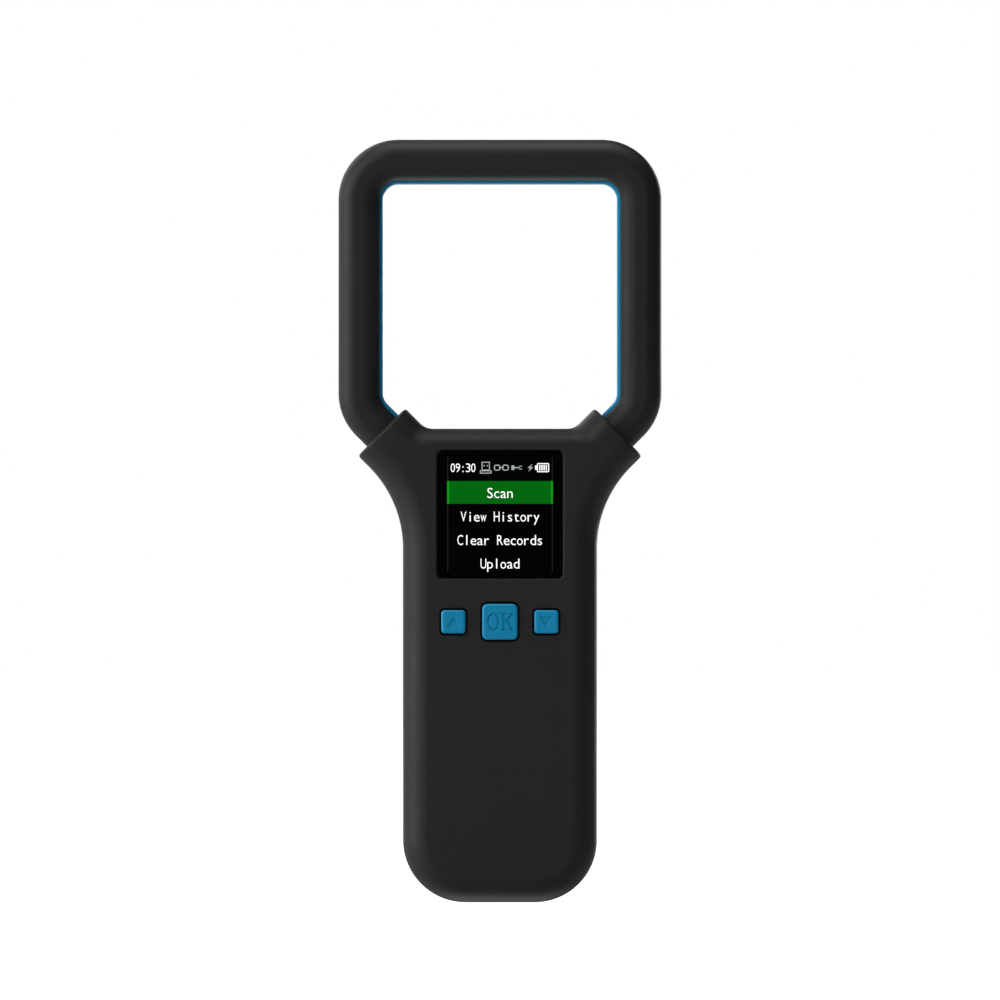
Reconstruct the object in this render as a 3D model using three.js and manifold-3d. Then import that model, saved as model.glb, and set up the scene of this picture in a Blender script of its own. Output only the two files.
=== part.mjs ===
// Hand-held microchip scanner: a rounded handle with a screen and three keys, and a
// square loop antenna whose two arms run at 45 degrees into the handle's ears.
//
// Millimetres. +Z runs up the handle to the loop, the front faces -Y, and X is across.
// The origin is the middle of the flat bottom end, on the plane where the halves meet.

import * as THREE from 'three';
import { mergeVertices } from 'three/addons/utils/BufferGeometryUtils.js';
import Module from 'manifold-3d';

const wasm = await Module();
wasm.setup();

// ---------------------------------------------------------------- driving dimensions

const OVERALL_LENGTH = 182;         // bottom of the handle to the top of the loop

// Handle
const HANDLE_LENGTH = 113;          // bottom to the saddle between the ears
const HANDLE_WIDTH = 46.3;
const HANDLE_DEPTH = 20;
const HANDLE_CORNER = 14.8;         // bottom corners, seen from the front
const HANDLE_ROLL = 6;              // how far in from the outline the rounded edge starts
const HANDLE_BELT = 5;              // straight band at the parting line, front to back
const NECK_RADIUS = 27.5;
const SADDLE_RADIUS = 4.2;
const EAR_WALL = 3.1;               // beside the arm, seen from the front
const EAR_DROP = 0.8;               // middle of an ear's end face below the saddle
const EAR_SOCKET_WALL = 4;
const SIDE_WALL = 2;                // also at the bottom end and under the saddle
const FRONT_WALL = 2.4;
const REAR_WALL = 2.2;

// Loop
const LOOP_WIDTH = 77.1;
const LOOP_DEPTH = 14;
const LOOP_BAND = 9.8;              // width of the hollow band, seen from the front
const LOOP_CORNER = 14.3;           // outer corners
const LOOP_ROLL = 4;
const LOOP_BELT = 3;
const LOOP_WALL = 1.8;
const ARM_TILT = Math.PI / 4;       // arms, from upright
const ARM_SHOWING = 3.75;           // straight stretch between a lower corner and its ear
const ARM_INSERT = 6.2;               // stretch inside the ear
const ARM_LUG = 1.4;                // thickness of the lug that keeps an arm in its ear
const ARM_LUG_REACH = 0.7;

// Blue liner round the inside of the loop
const TRIM_PROUD = 0.8;
const TRIM_SUNK = 0.8;
const TRIM_DEPTH = 7;
const TRIM_TONGUE = 0.7;            // tongue clamped between the loop shells
const TRIM_TONGUE_DEPTH = 1.2;
const TRIM_TUCK = 2;                // length hidden in the ear's socket

// Antenna winding on its former
const COIL_WIDTH = 2.2;
const COIL_DEPTH = 5;
const FORMER_FLANGE = 0.7;
const CROSSING_BELOW_SADDLE = 6.6;  // middle of the winding where it crosses the handle
const CROSSING_RADIUS = 3.5;

// Window and screen
const WINDOW_WIDTH = 30;
const WINDOW_HEIGHT = 30.7;
const WINDOW_CORNER = 1.4;
const WINDOW_BELOW_SADDLE = 5.1;
const WINDOW_THICK = 1;
const WINDOW_SINK = 0.4;
const WINDOW_CHAMFER = 0.4;
const ADHESIVE_THICK = 0.2;
const ADHESIVE_RIM = 1.3;
const SCREEN_WIDTH = 27.8;
const SCREEN_HEIGHT = 34.3;
const SCREEN_BELOW_SADDLE = 5.2;
const CELL_THICK = 1.4;
const BACKLIGHT_THICK = 1.2;
const SCREEN_GAP = 0.5;             // between the front wall and the screen

// Keys
const SMALL_KEY = [6, 5.9, 0.8];    // width, height, corner radius
const OK_KEY = [8.7, 8.9, 1.3];
const KEY_SPACING = 11.07;
const KEYS_BELOW_SADDLE = 46;
const KEY_PROUD = 0.8;
const KEY_BEVEL = 0.35;
const KEY_FLANGE = 1;               // reach of the retaining flange beyond the cap
const KEY_FLANGE_THICK = 0.8;
const KEY_TRAVEL = 0.3;
const KEY_REST_GAP = 0.05;          // flange to wall when the key is up
const ICON_DEPTH = 0.3;
const SWITCH_SIZE = 4.5;
const SWITCH_HEIGHT = 2.2;
const PLUNGER_RADIUS = 1.2;
const PLUNGER_SUNK = 0.8;

// Circuit board
const BOARD_WIDTH = 34;
const BOARD_THICK = 1.6;
const BOARD_BELOW_SADDLE = 9.6;
const BOARD_END_GAP = 0.8;          // from the bottom wall to the end of the board's tongue

// Battery
const BATTERY_WIDTH = 34;
const BATTERY_LENGTH = 50;
const BATTERY_THICK = 6;
const BATTERY_RIB = 1.2;
const BATTERY_PAD = 1.2;
const LEAD_RADIUS = 0.55;

// Socket in the bottom end
const USB_WIDTH = 8.94;
const USB_HEIGHT = 3.2;
const USB_LENGTH = 7.3;
const USB_WALL = 0.3;
const USB_RECESS = 0.6;
const USB_TONGUE = [6.7, 0.7, 5];   // width, thickness, length

// Fasteners
const LOW_SCREW_INSET = 10.15;      // in from the handle's side
const LOW_SCREW_UP = 13;
const HIGH_SCREW_DOWN = 14.1;       // down the arm's line from the ear's end face
const HIGH_SCREW_INSET = 4.85;      // in from the ear's outer side
const SCREW_HEAD_RADIUS = 2.4;
const SCREW_HEAD_HEIGHT = 1.7;
const SCREW_SHANK_RADIUS = 1.2;
const SCREW_LENGTH = 12;
const SCREW_SEAT = 3.2;             // depth of the head's recess
const DRIVE_WIDTH = 2.4;            // cross recess
const DRIVE_DEPTH = 0.9;
const BOSS_WALL = 1.5;
const BOARD_SCREW_INSET = 3.5;      // in from the board's edge
const BOARD_SCREW_ABOVE_SHOULDER = 9;
const BOARD_SCREW_BELOW_KEYS = 11;
const BOARD_SCREW_HEAD_RADIUS = 1.6;
const BOARD_SCREW_HEAD_HEIGHT = 0.9;
const BOARD_SCREW_RADIUS = 0.8;
const BOARD_SCREW_LENGTH = 4.6;

// Sound slots in the back
const BUZZER_RADIUS = 4.5;
const BUZZER_HEIGHT = 3;
const BUZZER_PLACE = [9, 15.4];     // across, and down from the board's top
const SLOT_SIZE = [1, 5];
const SLOT_PITCH = 2.4;
const SLOT_COUNT = 3;

// Clearances
const FIT = 0.15;                   // around what is pushed in
const PLAY = 0.3;                   // around what moves or is only covered

// Fineness of curves
const CHORD_ERROR = 0.07;           // how far an arc's chords may cut inside it
const ROLL_STEPS = 4;

// ---------------------------------------------------------------- derived places

const EAR_WIDTH = LOOP_BAND + 2 * EAR_WALL;
const FACE = -HANDLE_DEPTH / 2;
const BACK = HANDLE_DEPTH / 2;
const INNER_FACE = FACE + FRONT_WALL;
const INNER_BACK = BACK - REAR_WALL;
const BOARD_BACK = -USB_HEIGHT / 2;
const BOARD_FACE = BOARD_BACK - BOARD_THICK;
const BOARD_TOP = HANDLE_LENGTH - BOARD_BELOW_SADDLE;
const SCREEN_FACE = INNER_FACE + SCREEN_GAP;
const SCREEN_MIDDLE = SCREEN_FACE + CELL_THICK;
const SCREEN_BACK = SCREEN_MIDDLE + BACKLIGHT_THICK;
const SCREEN_TOP = HANDLE_LENGTH - SCREEN_BELOW_SADDLE;
const WINDOW_MIDDLE = HANDLE_LENGTH - WINDOW_BELOW_SADDLE - WINDOW_HEIGHT / 2;
const WINDOW_FACE = FACE + WINDOW_SINK;
const WINDOW_BACK = WINDOW_FACE + WINDOW_THICK;
const KEYS_HEIGHT = HANDLE_LENGTH - KEYS_BELOW_SADDLE;
const KEY_FACE = FACE - KEY_PROUD;
const FLANGE_FACE = INNER_FACE + KEY_REST_GAP;
const FLANGE_BACK = FLANGE_FACE + KEY_FLANGE_THICK;
const SWITCH_FACE = BOARD_FACE - SWITCH_HEIGHT;
const BATTERY_BACK = INNER_BACK - BATTERY_PAD;
const BATTERY_FACE = BATTERY_BACK - BATTERY_THICK;

const HEAD_RECESS = SCREW_HEAD_RADIUS + PLAY;
const SHANK_HOLE = SCREW_SHANK_RADIUS + FIT;
const FRONT_BOSS = SHANK_HOLE + BOSS_WALL;
const REAR_BOSS = HEAD_RECESS + BOSS_WALL - PLAY;
const LOW_SCREW_X = HANDLE_WIDTH / 2 - LOW_SCREW_INSET;
const BOARD_SHOULDER = LOW_SCREW_UP + FRONT_BOSS + 4 * PLAY;
const BOARD_TONGUE_WIDTH = 2 * (LOW_SCREW_X - FRONT_BOSS - 4 * PLAY);
const BATTERY_BOTTOM = LOW_SCREW_UP + REAR_BOSS + BATTERY_RIB + 2 * PLAY;
const BATTERY_TOP = BATTERY_BOTTOM + BATTERY_LENGTH;

// Along an arm, and square to it (away from the handle's middle), on the +X side.
const ALONG = new THREE.Vector2(Math.sin(ARM_TILT), Math.cos(ARM_TILT));
const ACROSS = new THREE.Vector2(Math.cos(ARM_TILT), -Math.sin(ARM_TILT));

const BAND_RADIUS = LOOP_CORNER - LOOP_BAND / 2;
const CORNER_X = LOOP_WIDTH / 2 - LOOP_CORNER;
const EAR_END = new THREE.Vector2(
  CORNER_X + BAND_RADIUS * ACROSS.x - ARM_SHOWING * ALONG.x,
  HANDLE_LENGTH - EAR_DROP,
);
const LOWER_CORNER_Z = EAR_END.y + ARM_SHOWING * ALONG.y - BAND_RADIUS * ACROSS.y;
const UPPER_CORNER_Z = OVERALL_LENGTH - LOOP_CORNER;

// ---------------------------------------------------------------- outlines

/** Points of an arc from one angle to another, both ends included. */
function arc(x, z, radius, from, to) {
  const widest = 2 * Math.acos(Math.max(0, 1 - CHORD_ERROR / radius));
  const steps = Math.ceil(Math.abs(to - from) / widest);
  return Array.from({ length: steps + 1 }, (_, i) => {
    const angle = from + ((to - from) * i) / steps;
    return new THREE.Vector2(x + radius * Math.cos(angle), z + radius * Math.sin(angle));
  });
}

/** The right half of an outline, continued by its mirror image in reverse. */
function mirrored(right) {
  const left = right.map((p) => new THREE.Vector2(-p.x, p.y)).reverse();
  return [...right, ...left];
}

/** A point measured from an ear's end face: along the arm, and square to it. */
function fromEar(along, across) {
  return new THREE.Vector2(
    EAR_END.x + along * ALONG.x + across * ACROSS.x,
    EAR_END.y + along * ALONG.y + across * ACROSS.y,
  );
}

/** The handle's outline, moved in by `inset`, its ears ending `reach` past their end faces. */
function handleOutline(inset, reach) {
  const half = HANDLE_WIDTH / 2;
  const earHalf = EAR_WIDTH / 2;
  const flare = fromEar(0, earHalf).x - half;
  const neck = Math.min(NECK_RADIUS, flare / (1 - Math.cos(ARM_TILT)));
  const neckX = half + neck;
  const neckZ = EAR_END.y + ((neckX - EAR_END.x) * ACROSS.x - earHalf - neck) / -ACROSS.y;
  const saddleZ = HANDLE_LENGTH + SADDLE_RADIUS;
  const saddleX = EAR_END.x
    - ((saddleZ - EAR_END.y) * ACROSS.y + earHalf + SADDLE_RADIUS) / ACROSS.x;
  return mirrored([
    ...arc(half - HANDLE_CORNER, HANDLE_CORNER, HANDLE_CORNER - inset, -Math.PI / 2, 0),
    ...arc(neckX, neckZ, neck + inset, Math.PI, Math.PI - ARM_TILT),
    fromEar(reach, earHalf - inset),
    fromEar(reach, inset - earHalf),
    ...arc(saddleX, saddleZ, SADDLE_RADIUS + inset, -ARM_TILT, -Math.PI / 2),
  ]);
}

/** One edge of the loop's band, `depth` in from its outer edge, from arm to arm. */
function loopEdge(depth, reach) {
  const radius = LOOP_CORNER - depth;
  return mirrored([
    fromEar(reach, LOOP_BAND / 2 - depth),
    ...arc(CORNER_X, LOWER_CORNER_Z, radius, -ARM_TILT, 0),
    ...arc(CORNER_X, UPPER_CORNER_Z, radius, 0, Math.PI / 2),
  ]);
}

/** The band between two depths from the loop's outer edge, open at the handle. */
function loopBand(outer, inner, reach = -ARM_INSERT) {
  return [...loopEdge(outer, reach), ...loopEdge(inner, reach).reverse()];
}

/** A closed ring that follows the loop, its arms and then a straight crossing of the handle. */
function windingEdge(depth) {
  const crossing = HANDLE_LENGTH - CROSSING_BELOW_SADDLE;
  const outward = LOOP_BAND / 2 - depth;
  const radius = CROSSING_RADIUS + outward;
  const centreZ = crossing + CROSSING_RADIUS;
  const centreX = EAR_END.x
    - ((centreZ - EAR_END.y) * ACROSS.y + CROSSING_RADIUS) / ACROSS.x;
  return mirrored([
    ...arc(centreX, centreZ, radius, -Math.PI / 2, -ARM_TILT),
    ...arc(CORNER_X, LOWER_CORNER_Z, LOOP_CORNER - depth, -ARM_TILT, 0),
    ...arc(CORNER_X, UPPER_CORNER_Z, LOOP_CORNER - depth, 0, Math.PI / 2),
  ]);
}

/** A rectangle with round corners, centred on (x, z). */
function roundedRectangle(width, height, radius, x = 0, z = 0) {
  const right = x + width / 2 - radius;
  const left = x - width / 2 + radius;
  const top = z + height / 2 - radius;
  const bottom = z - height / 2 + radius;
  return [
    ...arc(right, bottom, radius, -Math.PI / 2, 0),
    ...arc(right, top, radius, 0, Math.PI / 2),
    ...arc(left, top, radius, Math.PI / 2, Math.PI),
    ...arc(left, bottom, radius, Math.PI, Math.PI * 1.5),
  ];
}

// ---------------------------------------------------------------- solids

/** A closed geometry as a solid that can be joined and cut. */
function solid(geometry) {
  const plain = geometry.clone();
  plain.deleteAttribute('normal');
  plain.deleteAttribute('uv');
  const merged = mergeVertices(plain);
  return new wasm.Manifold(new wasm.Mesh({
    numProp: 3,
    vertProperties: new Float32Array(merged.attributes.position.array),
    triVerts: new Uint32Array(merged.index.array),
  }));
}

/** A solid as a three.js geometry. */
function geometryOf(body) {
  const { vertProperties, triVerts } = body.getMesh();
  const indexed = new THREE.BufferGeometry();
  indexed.setAttribute('position', new THREE.BufferAttribute(vertProperties, 3));
  indexed.setIndex(new THREE.BufferAttribute(triVerts, 1));
  const geometry = indexed.toNonIndexed();
  geometry.computeVertexNormals();
  return geometry;
}

/** Several solids joined into one. */
function join(first, ...others) {
  return others.reduce((whole, other) => whole.add(other), first);
}

/** A solid with others cut out of it. */
function cut(first, ...others) {
  return others.reduce((rest, other) => rest.subtract(other), first);
}

/** An outline seen from the front, carried from the plane y = front to y = back. */
function slab(outline, front, back, holes = []) {
  const shape = new THREE.Shape(outline);
  shape.holes = holes.map((hole) => new THREE.Path(hole));
  const geometry = new THREE.ExtrudeGeometry(shape, { depth: back - front, bevelEnabled: false });
  return solid(geometry.rotateX(Math.PI / 2).translate(0, back, 0));
}

/** A slab whose front and back edges are rounded to a quarter ellipse. */
function rolledSlab(outline, front, back, roll, belt, steps = ROLL_STEPS) {
  const thickness = (back - front - belt) / 2;
  const geometry = new THREE.ExtrudeGeometry(new THREE.Shape(outline), {
    depth: belt,
    bevelThickness: thickness,
    bevelSize: roll,
    bevelOffset: -roll,
    bevelSegments: steps,
  });
  return solid(geometry.rotateX(Math.PI / 2).translate(0, back - thickness, 0));
}

/** A block between two corners. */
function block(x0, y0, z0, x1, y1, z1) {
  const geometry = new THREE.BoxGeometry(x1 - x0, y1 - y0, z1 - z0);
  return solid(geometry.translate((x0 + x1) / 2, (y0 + y1) / 2, (z0 + z1) / 2));
}

/** A round post along Y. */
function post(x, z, radius, front, back, sides = 12) {
  const geometry = new THREE.CylinderGeometry(radius, radius, back - front, sides);
  return solid(geometry.translate(x, (front + back) / 2, z));
}

/** A wire of round section along a smooth path. */
function wire(points, radius, steps) {
  const path = new THREE.CatmullRomCurve3(points.map((p) => new THREE.Vector3(...p)));
  const section = new THREE.Shape(Array.from({ length: 8 }, (_, i) => {
    const angle = (i / 8) * Math.PI * 2;
    return new THREE.Vector2(radius * Math.cos(angle), radius * Math.sin(angle));
  }));
  return new THREE.ExtrudeGeometry(section, { steps, bevelEnabled: false, extrudePath: path });
}

/** Everything in front of the parting plane, and everything behind it. */
const FAR = 2 * OVERALL_LENGTH;
const frontHalf = () => block(-FAR, -FAR, -FAR, FAR, 0, FAR);
const rearHalf = () => block(-FAR, 0, -FAR, FAR, FAR, FAR);

/** A block in an arm's own directions, on the side given by `side` (1 or -1). */
function armBlock(side, alongFrom, alongTo, acrossFrom, acrossTo, front, back) {
  const corners = [
    fromEar(alongFrom, acrossFrom),
    fromEar(alongFrom, acrossTo),
    fromEar(alongTo, acrossTo),
    fromEar(alongTo, acrossFrom),
  ].map((p) => new THREE.Vector2(side * p.x, p.y));
  return slab(side > 0 ? corners : corners.reverse(), front, back);
}

const BOTH_SIDES = [1, -1];

// ---------------------------------------------------------------- materials

/** A material by its colour, roughness and metalness. */
function material(color, roughness, metalness = 0) {
  return new THREE.MeshStandardMaterial({ color, roughness, metalness });
}

const black = material(0x1c1c1d, 0.6);
const blue = material(0x14719b, 0.5);
const glass = material(0x050506, 0.06);
const screenGlass = material(0x101418, 0.2);
const white = material(0xe6e4dc, 0.6);
const boardGreen = material(0x14502e, 0.5);
const chipBlack = material(0x161616, 0.55);
const steel = material(0xb4b6b8, 0.3, 1);
const copper = material(0xa4552a, 0.35, 1);
const foam = material(0x2b2b2b, 0.95);
const amber = material(0x9a5a1c, 0.45);
const cellFoil = material(0xb9bcc0, 0.35, 0.9);
const leadRed = material(0xa8201a, 0.5);
const leadBlack = material(0x141414, 0.5);

const scanner = new THREE.Group();
scanner.name = 'microchip_scanner';

/** Adds one named sub-part to the scanner. */
function add(name, shape, skin) {
  const geometry = shape instanceof THREE.BufferGeometry ? shape : geometryOf(shape);
  const mesh = new THREE.Mesh(geometry, skin);
  mesh.name = name;
  scanner.add(mesh);
  return mesh;
}

// ---------------------------------------------------------------- handle

/** Four screws: a lower and an upper place on the right, and their mirror images. */
function fourScrews(kind, lower, upper) {
  return [['lower', lower], ['upper', upper]].flatMap(([row, place]) =>
    BOTH_SIDES.map((side) => ({
      name: `${row}_${side > 0 ? 'right' : 'left'}_${kind}_screw`,
      x: side * place.x,
      z: place.y,
    })));
}

const shellScrews = fourScrews(
  'shell',
  new THREE.Vector2(LOW_SCREW_X, LOW_SCREW_UP),
  fromEar(-HIGH_SCREW_DOWN, EAR_WIDTH / 2 - HIGH_SCREW_INSET));

const BOARD_SCREW_X = BOARD_WIDTH / 2 - BOARD_SCREW_INSET;
const boardScrews = fourScrews(
  'board',
  new THREE.Vector2(BOARD_SCREW_X, BOARD_SHOULDER + BOARD_SCREW_ABOVE_SHOULDER),
  new THREE.Vector2(BOARD_SCREW_X, KEYS_HEIGHT - BOARD_SCREW_BELOW_KEYS));

/** The handle's form, moved in by `inset`, its ears cut square to the arms at `reach`. */
function handleForm(inset, front, back, roll, reach) {
  const overlong = 2 * HANDLE_ROLL;
  const form = rolledSlab(handleOutline(inset, overlong), front, back, roll, HANDLE_BELT);
  const trims = BOTH_SIDES.map((side) =>
    armBlock(side, reach, 2 * overlong, -EAR_WIDTH, EAR_WIDTH, 2 * FACE, 2 * BACK));
  return cut(form, ...trims);
}

/** The handle with its hollow, and the sockets that the loop's arms pass through. */
function handleWalls() {
  const outside = handleForm(0, FACE, BACK, HANDLE_ROLL, 0);
  const room = handleForm(
    SIDE_WALL, INNER_FACE, INNER_BACK, HANDLE_ROLL - SIDE_WALL, -EAR_SOCKET_WALL);
  return cut(outside, room, armSocket());
}

/** The way through the ears for the arms, wider at the mouth for the end of the blue liner. */
function armSocket() {
  const mouth = 2;
  const way = rolledSlab(
    loopBand(-FIT, LOOP_BAND + FIT, -ARM_INSERT),
    -LOOP_DEPTH / 2 - FIT, LOOP_DEPTH / 2 + FIT, LOOP_ROLL, LOOP_BELT);
  const notches = BOTH_SIDES.map((side) => armBlock(
    side, -TRIM_TUCK - FIT, mouth,
    -LOOP_BAND / 2 - TRIM_PROUD - FIT, 0,
    -TRIM_DEPTH / 2 - FIT, TRIM_DEPTH / 2 + FIT));
  return join(way, ...notches);
}

/** The way through the bottom end for the socket. */
function usbWay() {
  const outline = roundedRectangle(USB_WIDTH + 2 * PLAY, USB_HEIGHT + 2 * PLAY, USB_HEIGHT / 2);
  const geometry = new THREE.ExtrudeGeometry(
    new THREE.Shape(outline), { depth: 3 * SIDE_WALL, bevelEnabled: false });
  return solid(geometry.translate(0, 0, -SIDE_WALL));
}

const keys = [
  { name: 'up', x: -KEY_SPACING, size: SMALL_KEY, point: 1 },
  { name: 'ok', x: 0, size: OK_KEY, point: 0 },
  { name: 'down', x: KEY_SPACING, size: SMALL_KEY, point: -1 },
];

/** The stepped and chamfered recess for the window, with the opening behind it. */
function windowRecess() {
  const corner = WINDOW_CORNER + FIT;
  const width = WINDOW_WIDTH + 2 * FIT;
  const height = WINDOW_HEIGHT + 2 * FIT;
  const seat = WINDOW_BACK + ADHESIVE_THICK;
  const pocket = slab(roundedRectangle(width, height, corner, 0, WINDOW_MIDDLE), 2 * FACE, seat);
  const opening = slab(
    roundedRectangle(
      WINDOW_WIDTH - 2 * ADHESIVE_RIM, WINDOW_HEIGHT - 2 * ADHESIVE_RIM, WINDOW_CORNER,
      0, WINDOW_MIDDLE),
    seat - FIT, INNER_FACE + FIT);
  const lip = new THREE.ExtrudeGeometry(
    new THREE.Shape(roundedRectangle(width, height, corner, 0, WINDOW_MIDDLE)),
    {
      depth: WINDOW_SINK,
      bevelThickness: WINDOW_CHAMFER,
      bevelSize: WINDOW_CHAMFER,
      bevelSegments: 1,
    });
  lip.rotateX(Math.PI / 2).translate(0, FACE, 0);
  return join(pocket, opening, solid(lip));
}

/** The opening in the front wall for one key. */
function keyWay({ x, size: [width, height, corner] }) {
  const outline = roundedRectangle(
    width + 2 * PLAY, height + 2 * PLAY, corner + PLAY, x, KEYS_HEIGHT);
  return slab(outline, 2 * FACE, INNER_FACE + FIT);
}

/** The front half of the handle. */
function handleFrontShell() {
  const wall = cut(handleWalls(), rearHalf());
  const shellBosses = shellScrews.map(({ x, z }) => post(x, z, FRONT_BOSS, INNER_FACE - FIT, 0));
  const boardBosses = boardScrews.map(({ x, z }) =>
    post(x, z, BOARD_SCREW_RADIUS + FIT + BOSS_WALL, INNER_FACE - FIT, BOARD_FACE));
  const shellPilots = shellScrews.map(({ x, z }) =>
    post(x, z, SHANK_HOLE, BACK - SCREW_SEAT - SCREW_LENGTH - PLAY, PLAY));
  const boardPilots = boardScrews.map(({ x, z }) =>
    post(x, z, BOARD_SCREW_RADIUS + FIT, BOARD_BACK - BOARD_SCREW_LENGTH - PLAY, BOARD_BACK));
  return cut(
    join(wall, ...shellBosses, ...boardBosses),
    ...shellPilots, ...boardPilots, ...keys.map(keyWay), windowRecess(), usbWay());
}

/** The slots over the buzzer. */
function soundSlots() {
  const [width, height] = SLOT_SIZE;
  const [x, down] = BUZZER_PLACE;
  return Array.from({ length: SLOT_COUNT }, (_, i) => {
    const shift = (i - (SLOT_COUNT - 1) / 2) * SLOT_PITCH;
    const outline = roundedRectangle(width, height, width / 2, x + shift, BOARD_TOP - down);
    return slab(outline, INNER_BACK - FIT, 2 * BACK);
  });
}

/** Two ribs that keep the battery from sliding up or down. */
function batteryRibs() {
  const depth = BATTERY_PAD + BATTERY_THICK / 2;
  const half = BATTERY_WIDTH / 5;
  const below = BATTERY_BOTTOM - PLAY;
  const above = BATTERY_TOP + PLAY;
  return [
    block(-half, INNER_BACK - depth, below - BATTERY_RIB, half, INNER_BACK + FIT, below),
    block(-half, INNER_BACK - depth, above, half, INNER_BACK + FIT, above + BATTERY_RIB),
  ];
}

/** The back half of the handle. */
function handleRearShell() {
  const wall = cut(handleWalls(), frontHalf());
  const bosses = shellScrews.map(({ x, z }) => post(x, z, REAR_BOSS, 0, INNER_BACK + FIT));
  const recesses = shellScrews.map(({ x, z }) => post(x, z, HEAD_RECESS, BACK - SCREW_SEAT, 2 * BACK));
  const ways = shellScrews.map(({ x, z }) => post(x, z, SHANK_HOLE, -PLAY, BACK));
  const room = join(wall, ...bosses, ...batteryRibs());
  return cut(room, ...recesses, ...ways, ...soundSlots(), usbWay());
}

/** A cross-recessed screw pointing forward, its head's seat at y = 0. */
function screw(headRadius, headHeight, shankRadius, length) {
  const head = post(0, 0, headRadius, 0, headHeight);
  const shank = post(0, 0, shankRadius, -length, headHeight / 2, 8);
  const blade = DRIVE_WIDTH / 4;
  const half = Math.min(DRIVE_WIDTH, headRadius * 1.4) / 2;
  const bottom = headHeight - Math.min(DRIVE_DEPTH, headHeight / 2);
  const slotX = block(-half, bottom, -blade / 2, half, 2 * headHeight, blade / 2);
  const slotZ = block(-blade / 2, bottom, -half, blade / 2, 2 * headHeight, half);
  return geometryOf(cut(join(head, shank), slotX, slotZ));
}

add('handle_front_shell', handleFrontShell(), black);
add('handle_rear_shell', handleRearShell(), black);

shellScrews.forEach(({ name, x, z }) => {
  const geometry = screw(SCREW_HEAD_RADIUS, SCREW_HEAD_HEIGHT, SCREW_SHANK_RADIUS, SCREW_LENGTH);
  add(name, geometry, steel).position.set(x, BACK - SCREW_SEAT, z);
});

boardScrews.forEach(({ name, x, z }) => {
  const geometry = screw(
    BOARD_SCREW_HEAD_RADIUS, BOARD_SCREW_HEAD_HEIGHT, BOARD_SCREW_RADIUS, BOARD_SCREW_LENGTH);
  add(name, geometry, steel).position.set(x, BOARD_BACK, z);
});

// ---------------------------------------------------------------- loop

/** The loop's solid outer form with the lugs on its arms. */
function loopForm() {
  const form = rolledSlab(
    loopBand(0, LOOP_BAND), -LOOP_DEPTH / 2, LOOP_DEPTH / 2, LOOP_ROLL, LOOP_BELT);
  const lugTop = -EAR_SOCKET_WALL - FIT;
  const reach = LOOP_BAND / 2 + ARM_LUG_REACH;
  const lugs = BOTH_SIDES.map((side) => armBlock(
    side, lugTop - ARM_LUG, lugTop, -reach, reach, -LOOP_BELT, LOOP_BELT));
  return join(form, ...lugs);
}

/** The channel inside the band, open at the ends of the arms. */
function loopChannel() {
  return rolledSlab(
    loopBand(LOOP_WALL, LOOP_BAND - LOOP_WALL, -2 * ARM_INSERT),
    LOOP_WALL - LOOP_DEPTH / 2, LOOP_DEPTH / 2 - LOOP_WALL,
    LOOP_ROLL - LOOP_WALL, LOOP_BELT, 2);
}

/** The strip of the blue liner, from `outer` to `inner` depth. */
function trimStrip(outer, inner, depth, reach) {
  return slab(loopBand(outer, inner, reach), -depth / 2, depth / 2);
}

/** The groove for the blue liner and its tongue. */
function trimGroove() {
  const outer = LOOP_BAND - TRIM_SUNK - FIT;
  const past = LOOP_BAND + 2 * TRIM_PROUD;
  const reach = -TRIM_TUCK - FIT;
  return join(
    trimStrip(outer, past, TRIM_DEPTH + 2 * FIT, reach),
    trimStrip(outer - TRIM_TONGUE, past, TRIM_TONGUE_DEPTH + 2 * FIT, reach));
}

const loopBody = () => cut(loopForm(), loopChannel(), trimGroove());

add('loop_front_shell', cut(loopBody(), rearHalf()), black);
add('loop_rear_shell', cut(loopBody(), frontHalf()), black);

add('loop_trim', join(
  rolledSlab(
    loopBand(LOOP_BAND - TRIM_SUNK, LOOP_BAND + TRIM_PROUD, -TRIM_TUCK),
    -TRIM_DEPTH / 2, TRIM_DEPTH / 2, TRIM_PROUD / 2, TRIM_DEPTH - TRIM_PROUD, 2),
  trimStrip(
    LOOP_BAND - TRIM_SUNK - TRIM_TONGUE, LOOP_BAND, TRIM_TONGUE_DEPTH, -TRIM_TUCK),
), blue);

// ---------------------------------------------------------------- antenna winding

/** A closed ring between two depths from the loop's outer edge. */
function windingRing(outer, inner, depth) {
  return slab(windingEdge(outer), -depth / 2, depth / 2, [windingEdge(inner).reverse()]);
}

const COIL_OUTER = (LOOP_BAND - COIL_WIDTH) / 2;
const COIL_INNER = COIL_OUTER + COIL_WIDTH;
const FORMER_DEPTH = COIL_DEPTH + 2 * FORMER_FLANGE + 2 * FIT;

add('coil_former', cut(
  windingRing(COIL_OUTER - FORMER_FLANGE / 2, COIL_INNER + FORMER_FLANGE + FIT, FORMER_DEPTH),
  windingRing(COIL_OUTER - FORMER_FLANGE, COIL_INNER + FIT, COIL_DEPTH + 2 * FIT),
), white);
add('antenna_coil', windingRing(COIL_OUTER, COIL_INNER, COIL_DEPTH), copper);

// ---------------------------------------------------------------- window and screen

/** A frame or plate behind the window. */
function windowPlate(shrink, front, back, holes = []) {
  const outline = roundedRectangle(
    WINDOW_WIDTH - 2 * shrink, WINDOW_HEIGHT - 2 * shrink, WINDOW_CORNER, 0, WINDOW_MIDDLE);
  return slab(outline, front, back, holes);
}

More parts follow.
